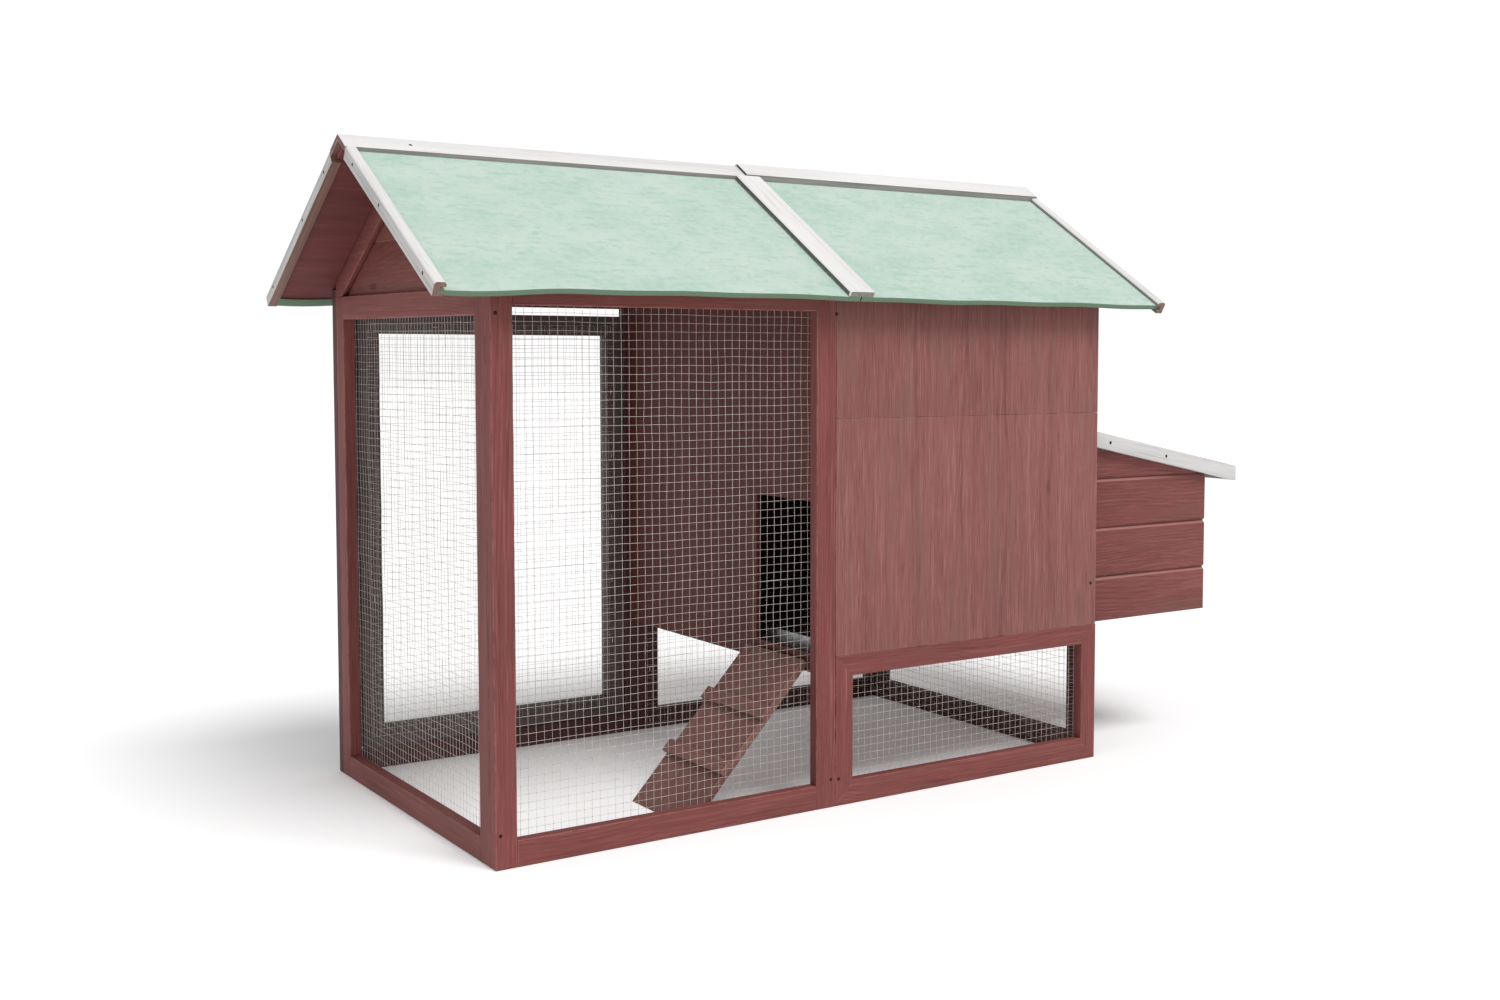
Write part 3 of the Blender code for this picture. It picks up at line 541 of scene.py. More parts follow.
# Painted shade on the partition and the floors.
coat(nodes["partition_wall"], SHADOWED_PLY["Z"])
coat(nodes["house_floor"], SHADOWED_PLY["X"])
coat(nodes["nest_floor"], SHADOWED_PLY["Y"])

# ---- Ramp ---------------------------------------------------------------------------------------
# A plain board up to the pop-hole with two cleats nailed across it for the birds' feet.
# The board's grain runs up the slope.
RAMP_RISE = 0.247
RAMP_REACH = 0.225
RAMP_SLOPE = math.atan2(RAMP_RISE, RAMP_REACH)


def turned_place(tree, *angles):
    """Places on the piece, turned so that the grain comes first."""
    inputs = {"Vector": coordinates(tree), "Rotation": angles}
    return add_node(tree, "ShaderNodeMapping", inputs).outputs[0]


def up_ramp(tree):
    return turned_place(tree, 0.0, RAMP_SLOPE, 0.0)


RAMP_SHADES = ((0.100, 0.041, 0.035), (0.190, 0.083, 0.071), (0.275, 0.134, 0.117), RED_WORN)
CLEAT = stains_along("Y", "cleat stain", RAMP_SHADES)
coat(nodes["ramp_board"], make_stain("ramp stain", up_ramp, RAMP_SHADES, spacing=0.008))
for name in ("ramp_cleat_upper", "ramp_cleat_lower"):
    coat(nodes[name], CLEAT["Y"])

# ---- Nest box -----------------------------------------------------------------------------------
# Four courses of tongued-and-grooved board on each side and across the end. A V-groove shows where
# two boards meet, and the top course is cut to the slope of the lid.
FIRST_COURSE = 0.084
COURSE = 0.0943
NEST_GROOVE = 0.0050
LID_FALL = 0.084
LID_REACH = 0.408
LID_SLOPE = math.atan2(LID_FALL, LID_REACH)
NEST_SHADES = ((0.102, 0.024, 0.021), (0.193, 0.052, 0.047), (0.292, 0.105, 0.093), RED_WORN)
nest_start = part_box("nest_front_side")[0].z + FIRST_COURSE - COURSE
NEST = {}
for along in "XY":
    NEST[along] = make_stain(
        f"nest boards {along}",
        lambda tree, a=along: grain_place(tree, a, ("Z", nest_start, COURSE)),
        NEST_SHADES,
        spacing=0.0075,
        drift=0.11,
        line_depth=0.6,
        fineness=0.55,
        # painted highlight on faces that look up, such as the lower lip of each groove
        top_highlight=0.50,
    )


def pick_edges(piece, wanted):
    """Enters edit mode with the edges chosen whose two ends pass a test."""
    only(piece)
    bpy.ops.object.mode_set(mode="EDIT")
    bpy.ops.mesh.select_mode(type="EDGE")
    bpy.ops.mesh.select_all(action="DESELECT")
    shape = bmesh.from_edit_mesh(piece.data)
    for edge in shape.edges:
        edge.select_set(wanted(*[point.co for point in edge.verts]))
    bmesh.update_edit_mesh(piece.data)


def cut_groove(board, outer_axis, outer, heights):
    """Chamfers the outer arris at each height, so that two boards leave a V between them."""

    def on_arris(*ends):
        outside = all(abs(end[outer_axis] - outer) < 1e-5 for end in ends)
        level = any(all(abs(end.z - height) < 1e-5 for end in ends) for height in heights)
        return outside and level

    pick_edges(board, on_arris)
    bpy.ops.mesh.bevel(offset=NEST_GROOVE, segments=1, affect="EDGES")
    bpy.ops.object.mode_set(mode="OBJECT")


def board_wall(node, along, stem, outer_axis, outward):
    """Courses of board in place of a CAD wall of the nest box, cut to the lid's slope."""
    low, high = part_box(node)
    outer = (high if outward > 0 else low)[outer_axis]
    bottom = low.z
    number = 1
    top = low.z + FIRST_COURSE
    lid_normal = (math.sin(LID_SLOPE), 0.0, math.cos(LID_SLOPE))
    while bottom < high.z - NEST_GROOVE:
        top = min(top, high.z)
        name = f"{stem}_board_{number}"
        board = lath(name, (low.x, low.y, bottom), (high.x, high.y, top))
        if top > high.z - COURSE:
            trim_off(board, (low.x, 0.0, high.z), lid_normal)
        grooves = [height for height in (bottom, top) if low.z < height < high.z]
        cut_groove(board, outer_axis, outer, grooves)
        ease(board, 0.0007)
        fit(board, "coop", "red_stain", NEST[along], node)
        bottom = top
        top += COURSE
        number += 1


board_wall("nest_front_side", "X", "nest_front", 1, -1)
board_wall("nest_back_side", "X", "nest_back", 1, 1)
board_wall("nest_end_wall", "Y", "nest_end", 0, 1)

# ---- Roof covering ------------------------------------------------------------------------------
# Each slope has two sheets of board under green mineral felt. The felt is folded over the eave and
# tacked underneath, its fold painted a darker green as shade; the board below is stained a dark red,
# deepened as painted shade for the underside under the roof.
FELT = 0.0013
FELT_UNDER = 0.022
FELT_SLACK = 0.0008
SHEET = 0.008
FELT_PALE = (0.492, 0.584, 0.529)
FELT_MID = (0.420, 0.548, 0.472)
FELT_DEEP = (0.338, 0.494, 0.394)
FELT_FOLD_SHADE = (0.150, 0.225, 0.150)


def make_felt():
    """Green mineral grit pressed into felt, blotched where the grit lies thicker."""
    material, tree, shader = start_material("green felt")
    place = coordinates(tree)
    cloud = noise(tree, place, (9.0, 12.0, 12.0), 6.0)
    smear = noise(tree, place, (21.0, 88.0, 88.0), 5.0)
    fleck = noise(tree, place, (75.0, 95.0, 95.0), 4.0)
    grit = noise(tree, place, (420.0, 420.0, 420.0), 2.0)
    colour = blend_colours(tree, ramp(tree, cloud, 0.38, 0.60), FELT_MID, FELT_PALE)
    colour = tint(tree, colour, cloud, 0.44, 0.28, 0.35, FELT_DEEP)
    colour = tint(tree, colour, smear, 0.52, 0.66, 0.58, FELT_DEEP)
    colour = tint(tree, colour, smear, 0.44, 0.32, 0.60, FELT_PALE)
    colour = tint(tree, colour, fleck, 0.50, 0.64, 0.55, FELT_PALE)
    colour = tint(tree, colour, fleck, 0.46, 0.34, 0.50, FELT_DEEP)
    colour = tint(tree, colour, grit, 0.56, 0.76, 0.30, FELT_DEEP)
    # Painted shade: faces that turn from the sky, as on the fold over the eave, go dark green.
    facing = split(tree, coordinates(tree, "Normal"))[2]
    colour = blend_colours(tree, ramp(tree, facing, 0.75, 0.35), colour, FELT_FOLD_SHADE)
    tree.links.new(colour, shader.inputs["Base Color"])
    shader.inputs["Roughness"].default_value = 0.93
    shader.inputs["Specular IOR Level"].default_value = 0.2
    height = plus(tree, grit, times(tree, smear, 0.6))
    raise_surface(tree, shader, height, 0.5, 0.0006)
    return material


FELTED = make_felt()
# A dark red stain, deepened as painted shade for the shaded underside of the roof.
ROOF_RED = make_stain(
    "roof underside",
    lambda tree: grain_place(tree, "X"),
    ((0.080, 0.019, 0.018), (0.160, 0.038, 0.036), (0.215, 0.068, 0.062), RED_WORN),
    spacing=0.030,
    drift=0.2,
    knots=0.4,
)


def ripple(piece, strength, size, axis):
    """Presses a piece slightly out of flat, the same way each time."""
    only(piece)
    texture = bpy.data.textures.new(f"{piece.name} ripple", "CLOUDS")
    texture.noise_scale = size
    texture.cloud_type = "COLOR"
    press = piece.modifiers.new("ripple", "DISPLACE")
    press.texture = texture
    press.texture_coords = "LOCAL"
    press.direction = axis
    press.strength = strength
    bpy.ops.object.modifier_apply(modifier="ripple")


def droop(x, distance, eave):
    """How far the covering hangs off straight near the eave: a low left corner and a soft wave."""
    corner = 0.0065 * math.exp(-(((x - ROOF_LEFT - 0.030) / 0.110) ** 2))
    lift = 0.0022 * math.exp(-(((x - ROOF_LEFT - 0.450) / 0.200) ** 2))
    wave = 0.0006 * math.sin(x * 31.0) + 0.0005 * math.sin(x * 13.0 + 1.0)
    return (corner - lift + wave) * (distance / eave) ** 10


def unit_grid(name, cells):
    """A flat grid one metre each way about the origin."""
    bpy.ops.object.select_all(action="DESELECT")
    bpy.ops.mesh.primitive_grid_add(x_subdivisions=cells[0], y_subdivisions=cells[1], size=1.0)
    grid = bpy.context.object
    grid.name = grid.data.name = name
    return grid


def lay_on_slope(name, xs, side, eave, height_of, cells):
    """A grid laid on a slope from the ridge to the eave, facing up."""
    skin = unit_grid(name, cells)
    centre = Vector(((xs[0] + xs[1]) / 2, side * eave / 2, 0.0))
    spread = Matrix.Diagonal((xs[1] - xs[0], eave, 1.0, 1.0))
    skin.data.transform(Matrix.Translation(centre) @ spread)
    for point in skin.data.vertices:
        point.co.z = height_of(point.co.x, abs(point.co.y))
    return skin


def thicken(piece, thickness):
    """Gives a skin its thickness on the side away from its faces."""
    only(piece)
    thick = piece.modifiers.new("thickness", "SOLIDIFY")
    thick.thickness = thickness
    thick.offset = -1.0
    bpy.ops.object.modifier_apply(modifier="thickness")


def fold_over(skin, side, eave):
    """Folds the felt down over the eave and back under it."""
    depth = SHEET + FELT_SLACK
    down = (0.0, -side * depth * math.sin(PITCH), -depth * math.cos(PITCH))
    under = (0.0, -side * FELT_UNDER * math.cos(PITCH), FELT_UNDER * math.sin(PITCH))
    pick(skin, lambda place: abs(abs(place.y) - eave) < 1e-5)
    bpy.ops.mesh.extrude_region_move(TRANSFORM_OT_translate={"value": down})
    bpy.ops.mesh.extrude_region_move(TRANSFORM_OT_translate={"value": under})
    bpy.ops.mesh.select_all(action="SELECT")
    bpy.ops.mesh.normals_make_consistent(inside=False)
    bpy.ops.object.mode_set(mode="OBJECT")
    if skin.data.polygons[0].normal.z < 0:
        skin.data.flip_normals()


ROOF_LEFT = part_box("roof_sheet_front_left")[0].x
for slope, side in (("front", -1), ("back", 1)):
    for half in ("left", "right"):
        node = f"roof_sheet_{slope}_{half}"
        low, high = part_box(node)
        eave = max(abs(low.y), abs(high.y))
        fall = math.tan(PITCH)
        apex = high.z

        def felt_top(x, distance, eave=eave, apex=apex, fall=fall):
            return apex - distance * fall - droop(x, distance, eave)

        def board_top(x, distance, top=felt_top):
            return top(x, distance) - FELT / math.cos(PITCH)

        board_end = eave - FELT
        name = f"roof_board_{slope}_{half}"
        board = lay_on_slope(name, (low.x, high.x), side, board_end, board_top, (36, 10))
        thicken(board, SHEET - FELT)
        ease(board, 0.0008)
        fit(board, "coop", "red_stain", ROOF_RED, node)
        name = f"roof_felt_{slope}_{half}"
        skin = lay_on_slope(name, (low.x, high.x), side, eave, felt_top, (44, 22))
        fold_over(skin, side, eave)
        ripple(skin, 0.0012, 0.11, "Z")
        thicken(skin, FELT)
        ease(skin, 0.0006)
        fit(skin, "coop", "green_felt", FELTED, node)

# ---- Ridge boards, battens and gable trims ------------------------------------------------------
# Painted white: two lengths of flat board along the ridge on each slope, of which the left sits 4 mm
# lower, a batten over the joint of the sheets, and moulded trims that grip the gable edges. Sawn
# ends and undersides stay bare, those of the right ridge boards painted near black as shade. Painted
# shade also greys the ridge boards' long edges, bare wood there, and the right trims' inner faces,
# darkens the batten's sides and gives the trims' outer faces a greyer white.
WHITE_SHADES = ((0.440, 0.420, 0.400), (0.690, 0.675, 0.665), (0.770, 0.755, 0.750))
# Bare grey wood; on the ridge boards' long edges and the right trims' inner faces it is painted shade as
# well.
BARE_AND_SHADED_GREY = (0.250, 0.245, 0.220)
RAW_BROWN = (0.240, 0.130, 0.100)
RAW_RED = (0.190, 0.080, 0.070)
# The next three tones are painted shade, for faces in a gap or turned from the light.
END_SHADOW = (0.045, 0.043, 0.038)
SHADED_WHITE = (0.600, 0.590, 0.572)
BATTEN_SIDE_SHADOW = (0.100, 0.097, 0.088)
RIDGE_STEP = 0.004


def along_x(tree):
    return grain_place(tree, "X")


def along_y(tree):
    return grain_place(tree, "Y")


def down_slope(side):
    """The grain's place on a piece that runs from the ridge to the eave."""

    def place_of(tree):
        x, y, z = split(tree, turned_place(tree, side * PITCH, 0.0, 0.0))
        return compose(tree, (y, x, z))

    return place_of


def make_paint(name, place_of, bare_and_shaded, strength=1.0):
    """White paint on sawn wood. bare_and_shaded pairs directions with the colour that takes the white's
    place there: bare wood on sawn faces, painted shade on faces that the light reaches less.
    """
    worn, mid, clean = [shade(white, strength) for white in WHITE_SHADES]
    material, tree, shader = start_material(name)
    wood = use_group(tree, GRAIN, {"Place": place_of(tree), "Line Spacing": 0.007, "Knots": 0.6})
    colour = blend_colours(tree, ramp(tree, wood["Blotch"], 0.3, 0.7), mid, clean)
    colour = tint(tree, colour, wood["Streak"], 0.54, 0.76, 0.6, worn)
    colour = tint(tree, colour, wood["Fibre"], 0.55, 0.75, 0.3, worn)
    colour = blend_colours(tree, times(tree, wood["Line"], 0.15), colour, worn)
    edges = use_group(tree, WEAR_AND_SHADE, {"Width": 0.0014, "Amount": 0.55})
    colour = blend_colours(tree, edges["Wear"], colour, BARE_AND_SHADED_GREY)
    # Painted shade: greyer in joints and crevices, where nearby parts close in.
    joint_shade = times(tree, edges["Painted Shade"], 0.65)
    colour = blend_colours(tree, joint_shade, colour, shade(BARE_AND_SHADED_GREY, 0.35))
    facing = coordinates(tree, "Normal")
    for direction, bare_and_shade_tones in bare_and_shaded:
        inputs = {0: facing, 1: direction}
        turned = add_node(tree, "ShaderNodeVectorMath", inputs, operation="DOT_PRODUCT").outputs["Value"]
        grained = blend_colours(tree, ramp(tree, wood["Streak"], 0.35, 0.65), bare_and_shade_tones, shade(bare_and_shade_tones, 0.72))
        colour = blend_colours(tree, ramp(tree, turned, 0.90, 0.97), colour, grained)
    tree.links.new(colour, shader.inputs["Base Color"])
    shader.inputs["Roughness"].default_value = 0.48
    height = plus(tree, wood["Streak"], times(tree, wood["Fibre"], 0.4))
    raise_surface(tree, shader, height, 0.35, 0.0005)
    return material


def lower_ridge_board(name, node, drop):
    """A ridge board in place of a CAD one, set down by drop."""
    low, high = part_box(node)
    side = -1 if low.y + high.y < 0 else 1
    inner, outer = sorted((abs(low.y), abs(high.y)))
    fall = (outer - inner) * math.tan(PITCH)
    thickness = high.z - low.z - fall
    piece = lath(name, (low.x, low.y, 0.0), (high.x, high.y, thickness))
    for edge, height in ((inner, high.z - thickness - drop), (outer, low.z - drop)):
        shift_points(piece, lambda place, e=edge: abs(abs(place.y) - e) < 1e-5, (0.0, 0.0, height))
    ease(piece, 0.0010)
    return piece


for slope, side in (("front", -1), ("back", 1)):
    down = (0.0, side * math.cos(PITCH), -math.sin(PITCH))
    under = (0.0, -side * math.sin(PITCH), -math.cos(PITCH))
    # The long edges are grey, bare wood darkened as painted shade.
    sawn = [((0.0, side, 0.0), BARE_AND_SHADED_GREY), ((0.0, -side, 0.0), BARE_AND_SHADED_GREY)]
    # Painted shade: the right boards' ends and undersides are near black, for the shade in the gap at the
    # ridge joint.
    for half, ends in (("left", RAW_RED), ("right", END_SHADOW)):
        bare_and_shade_tones = sawn + [((-1.0, 0.0, 0.0), ends), ((1.0, 0.0, 0.0), ends), (under, ends)]
        ridge_paint = make_paint(f"ridge paint {slope} {half}", along_x, bare_and_shade_tones)
        node = f"ridge_board_{slope}_{half}"
        if half == "right":
            coat(nodes[node], ridge_paint)
        else:
            lowered = lower_ridge_board(f"ridge_lath_{slope}_left", node, RIDGE_STEP)
            fit(lowered, "coop", "white_paint", ridge_paint, node)
    # Painted shadow: the batten's sides are dark for the shadow in the gaps beside it.
    bare_and_shade_tones = [(down, BARE_AND_SHADED_GREY), ((-1.0, 0.0, 0.0), BATTEN_SIDE_SHADOW), ((1.0, 0.0, 0.0), BATTEN_SIDE_SHADOW)]
    coat(nodes[f"joint_batten_{slope}"], make_paint(f"batten paint {slope}", down_slope(side), bare_and_shade_tones))
    # Painted shade: each trim's outer face is a greyer white, and the right trims' inner faces grey, as
    # the light reaches them less.
    for half, inward, inside in (("left", 1.0, RAW_BROWN), ("right", -1.0, BARE_AND_SHADED_GREY)):
        sawn = (down, under, -Vector(down), (0.0, -side, 0.0))
        bare_and_shade_tones = [(direction, RAW_BROWN) for direction in sawn]
        bare_and_shade_tones += [((inward, 0.0, 0.0), inside), ((-inward, 0.0, 0.0), SHADED_WHITE)]
        trim_paint = make_paint(f"trim paint {slope} {half}", down_slope(side), bare_and_shade_tones, 0.95)
        coat(nodes[f"gable_trim_{slope}_{half}"], trim_paint)

# ---- Nest box lid -------------------------------------------------------------------------------
# A board under the same green felt, with white strips screwed to its two sides and its low end.
# It lifts on two hinges at the house wall.
LID_BOARD = 0.012
STRIP = 0.012
STRIP_DEPTH = 0.030
lid_low, lid_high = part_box("nest_lid")
LID_LENGTH = lid_high.x - lid_low.x


def lid_height(x):
    return lid_high.z - (x - lid_low.x) * LID_FALL / LID_LENGTH


def tilt_to_lid(piece):
    """Lets a level piece down to the lid's slope, keeping its thickness upright."""
    for point in piece.data.vertices:
        point.co.z += lid_height(point.co.x)


board_low = (lid_low.x, lid_low.y + STRIP, -LID_BOARD - FELT)
board = lath("lid_board", board_low, (lid_high.x - STRIP, lid_high.y - STRIP, -FELT))
tilt_to_lid(board)
ease(board, 0.0008)
fit(board, "nest_lid", "red_stain", ROOF_RED, "nest_lid")

lid_felt = unit_grid("lid_felt", (26, 34))
spread = Matrix.Diagonal((LID_LENGTH - STRIP / 2, lid_high.y - lid_low.y - STRIP, 1.0, 1.0))
centre = Vector(((lid_low.x + lid_high.x - STRIP / 2) / 2, 0.0, -FELT / 2))
lid_felt.data.transform(Matrix.Translation(centre) @ spread)
tilt_to_lid(lid_felt)
ripple(lid_felt, 0.0010, 0.09, "Z")
thicken(lid_felt, FELT)
fit(lid_felt, "nest_lid", "green_felt", FELTED, "nest_lid")


def along_lid(tree):
    return turned_place(tree, 0.0, -LID_SLOPE, 0.0)


LID_WHITE = 0.80
side_paint = make_paint("lid side paint", along_lid, [((1.0, 0.0, 0.0), BARE_AND_SHADED_GREY)], LID_WHITE)
end_bare = [((0.0, 1.0, 0.0), BARE_AND_SHADED_GREY), ((0.0, -1.0, 0.0), BARE_AND_SHADED_GREY)]
end_paint = make_paint("lid end paint", along_y, end_bare, LID_WHITE)
for name, x, ys, paint in (
    ("lid_strip_front", lid_low.x, (lid_low.y, lid_low.y + STRIP), side_paint),
    ("lid_strip_back", lid_low.x, (lid_high.y - STRIP, lid_high.y), side_paint),
    ("lid_strip_end", lid_high.x - STRIP, (lid_low.y + STRIP, lid_high.y - STRIP), end_paint),
):
    strip = lath(name, (x, ys[0], -STRIP_DEPTH), (lid_high.x, ys[1], 0.0))
    tilt_to_lid(strip)
    ease(strip, 0.0014)
    fit(strip, "nest_lid", "white_paint", paint)

# ---- Wire mesh ----------------------------------------------------------------------------------
# Welded mesh of galvanised wire in half-inch squares, stapled to the inner face of each frame.
# The upright wires lie behind, the level ones in front, and neither is quite straight.
WIRE = 0.00029
MESH_PITCH = 0.0130
WIRE_STEP = 0.040


def make_galvanised(name, tone, roughness, metal):
    material, tree, shader = start_material(name)
    place = coordinates(tree)
    spangle = {"Vector": place, "Scale": 140.0}
    flake = add_node(tree, "ShaderNodeTexVoronoi", spangle).outputs["Color"]
    level = add_node(tree, "ShaderNodeSeparateColor", {0: flake}).outputs[0]
    dull = noise(tree, place, (40.0, 40.0, 40.0), 3.0)
    light = [min(1.0, 1.25 * c) for c in tone]
    colour = blend_colours(tree, level, shade(tone, 0.82), light)
    colour = tint(tree, colour, dull, 0.55, 0.75, 0.5, shade(tone, 0.6))
    tree.links.new(colour, shader.inputs["Base Color"])
    rough = ramp(tree, dull, 0.3, 0.7, roughness - 0.08, roughness + 0.12)
    tree.links.new(rough, shader.inputs["Roughness"])
    shader.inputs["Metallic"].default_value = metal
    return material


WIRES = make_galvanised("galvanised wire", (0.60, 0.54, 0.50), 0.42, 0.35)


def wire_run(name, low, high, upright, depth_axis, depth):
    """One set of parallel wires across a panel, as a grid whose other edges are taken out."""
    across_axis = 1 - depth_axis
    width = high[across_axis] - low[across_axis]
    height = high.z - low.z
    wires = round((width if upright else height) / MESH_PITCH)
    steps = max(4, round((height if upright else width) / WIRE_STEP))
    cells = (wires, steps) if upright else (steps, wires)
    grid = unit_grid(name, cells)
    for point in grid.data.vertices:
        u, v = point.co.x + 0.5, point.co.y + 0.5
        place = Vector((0.0, 0.0, low.z + v * height))
        place[across_axis] = low[across_axis] + u * width
        place[depth_axis] = depth
        point.co = place
    pick_edges(grid, lambda start, end: (abs(start.z - end.z) < 1e-6) == upright)
    bpy.ops.mesh.delete(type="EDGE")
    bpy.ops.object.mode_set(mode="OBJECT")
    ripple(grid, 0.0038, 0.085, "RGB_TO_XYZ")
    bpy.ops.object.convert(target="CURVE")
    grid.data.bevel_depth = WIRE
    grid.data.bevel_resolution = 0
    bpy.ops.object.convert(target="MESH")
    bpy.ops.object.shade_smooth()
    return bpy.context.object


def join(name, pieces):
    bpy.ops.object.select_all(action="DESELECT")
    for piece in pieces:
        piece.select_set(True)
    bpy.context.view_layer.objects.active = pieces[0]
    bpy.ops.object.join()
    pieces[0].name = pieces[0].data.name = name
    return pieces[0]


MESH_PANELS = (
    ("front_run_mesh", "coop", 1, -1),
    ("end_run_mesh", "coop", 0, -1),
    ("door_mesh", "run_door", 1, 1),
    ("lower_front_mesh", "coop", 1, -1),
    ("lower_back_mesh", "coop", 1, 1),
    ("right_lower_mesh", "coop", 0, 1),
)
for node, body, depth_axis, outward in MESH_PANELS:
    low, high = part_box(node)
    centre = (low[depth_axis] + high[depth_axis]) / 2
    lift = outward * WIRE
    panel = [
        wire_run("uprights", low, high, True, depth_axis, centre - lift),
        wire_run("levels", low, high, False, depth_axis, centre + lift),
    ]
    fit(join(node.replace("_mesh", "_wires"), panel), body, "galvanised_wire", WIRES, node)

# ---- Staples ------------------------------------------------------------------------------------
# The mesh is held to its frames by wire staples driven through it every 12 cm or so, on the inner
# face where the laths are. Each is 10 mm wide and bent from square wire.
STAPLE_WIDTH = 0.010
STAPLE_WIRE = 0.0006
STAPLE_LEG = 0.003
STAPLE_SPACING = 0.12
STAPLE_INSET = 0.006


def copy_at(original, place, facing, lie=Matrix.Identity(4)):
    """A copy, with a mesh of its own, of what faces up at the origin; lie turns it first."""
    copy = original.copy()
    copy.data = original.data.copy()
    bpy.context.scene.collection.objects.link(copy)
    turn = facing.to_track_quat("Z", "Y").to_matrix().to_4x4()
    copy.data.transform(Matrix.Translation(place) @ turn @ lie)
    return copy


def make_staple():
    """A crown with two legs; it lies along X at the origin with its legs pointing down."""
    half = STAPLE_WIDTH / 2
    staple = lath("staple", (-half, -STAPLE_WIRE, -STAPLE_WIRE), (half, STAPLE_WIRE, STAPLE_WIRE))
    for end in (-half, half):
        trim = end - math.copysign(2 * STAPLE_WIRE, end)
        only(staple)
        bpy.ops.object.mode_set(mode="EDIT")
        bpy.ops.mesh.select_all(action="SELECT")
        bpy.ops.mesh.bisect(plane_co=(trim, 0.0, 0.0), plane_no=(1.0, 0.0, 0.0))
        bpy.ops.mesh.select_mode(type="FACE")
        bpy.ops.mesh.select_all(action="DESELECT")
        shape = bmesh.from_edit_mesh(staple.data)
        for face in shape.faces:
            middle = face.calc_center_median()
            face.select_set(face.normal.z < -0.9 and (middle.x - trim) * end > 0.0)
        bmesh.update_edit_mesh(staple.data)
        bpy.ops.mesh.extrude_region_move(TRANSFORM_OT_translate={"value": (0.0, 0.0, -STAPLE_LEG)})
        bpy.ops.object.mode_set(mode="OBJECT")
    ease(staple, 0.0003, 1)
    return staple


STAPLE = make_staple()
STAPLE_STEEL = make_galvanised("staple steel", (0.52, 0.50, 0.48), 0.35, 0.8)
for node, body, depth_axis, outward in MESH_PANELS:
    low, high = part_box(node)
    across_axis = 1 - depth_axis
    face = (high if outward < 0 else low)[depth_axis]
    low_across, high_across = low[across_axis] + STAPLE_INSET, high[across_axis] - STAPLE_INSET
    low_z, high_z = low.z + STAPLE_INSET, high.z - STAPLE_INSET
    rows = max(2, round((high_z - low_z) / STAPLE_SPACING))
    columns = max(2, round((high_across - low_across) / STAPLE_SPACING))
    spots = []
    for i in range(rows + 1):
        height = low_z + (high_z - low_z) * i / rows
        spots += [(low_across, height, True), (high_across, height, True)]
    for i in range(1, columns):
        across = low_across + (high_across - low_across) * i / columns
        spots += [(across, low_z, False), (across, high_z, False)]
    facing = Vector((0.0, 0.0, 0.0))
    facing[depth_axis] = -outward
    staples = []
    for across, height, upright in spots:
        place = Vector((0.0, 0.0, height))
        place[across_axis] = across
        place[depth_axis] = face
        lie = Matrix.Rotation(math.pi / 2 if upright else 0.0, 4, "Z")
        staples.append(copy_at(STAPLE, place, facing, lie))
    fit(join(node.replace("_mesh", "_staples"), staples), body, "galvanised_wire", STAPLE_STEEL)
bpy.data.objects.remove(STAPLE)

# ---- Tray, hinges and screws --------------------------------------------------------------------
# The droppings tray is folded galvanised sheet. Hinges are pressed steel with a zinc plating, and
# the laths are held by small black countersunk screws, the gable trims by browned ones.
coat(nodes["tray"], make_galvanised("galvanised sheet", (0.46, 0.47, 0.48), 0.42, 0.9))
ZINC = make_galvanised("zinc plate", (0.60, 0.60, 0.58), 0.30, 1.0)
for name, node in nodes.items():
    if "hinge" in name:
        coat(node, ZINC)


def make_screw():
    """A countersunk head with a cross recess; it faces up at the origin."""
    bpy.ops.object.select_all(action="DESELECT")
    bpy.ops.mesh.primitive_cylinder_add(vertices=24, radius=HEAD_RADIUS, depth=HEAD_DEPTH)
    head = bpy.context.object
    pick(head, lambda place: place.z > 0.0)
    bpy.ops.mesh.inset(thickness=0.0007, depth=0.00035)
    bpy.ops.object.mode_set(mode="OBJECT")
    for size in ((RECESS_LONG, RECESS_WIDE, HEAD_DEPTH), (RECESS_WIDE, RECESS_LONG, HEAD_DEPTH)):
        bpy.ops.object.select_all(action="DESELECT")
        bpy.ops.mesh.primitive_cube_add(size=1.0, location=(0.0, 0.0, HEAD_DEPTH), scale=size)
        blade = bpy.context.object
        only(head)
        cut = head.modifiers.new("recess", "BOOLEAN")
        cut.operation = "DIFFERENCE"
        cut.object = blade
        bpy.ops.object.modifier_apply(modifier="recess")
        bpy.data.objects.remove(blade)
    ease(head, 0.00012, 1)
    return head


def drive_screws(stem, body, material, places):
    """A copy of the screw at each place, its head facing the given way."""
    for number, (place, facing) in enumerate(places, 1):
        facing = Vector(facing)
        screw = copy_at(SCREW, Vector(place) - HEAD_SUNK * facing, facing)
        screw.name = screw.data.name = f"{stem}_{number}"
        fit(screw, body, "zinc_steel", material)


def make_screw_steel(name, clean, dusty):
    material, tree, shader = start_material(name)
    place = coordinates(tree)
    dust = ramp(tree, noise(tree, place, (900.0, 900.0, 900.0), 2.0), 0.45, 0.70)
    colour = blend_colours(tree, dust, clean, dusty)
    tree.links.new(colour, shader.inputs["Base Color"])
    tree.links.new(ramp(tree, dust, 0.0, 1.0, 0.38, 0.60), shader.inputs["Roughness"])
    shader.inputs["Metallic"].default_value = 0.8
    return material


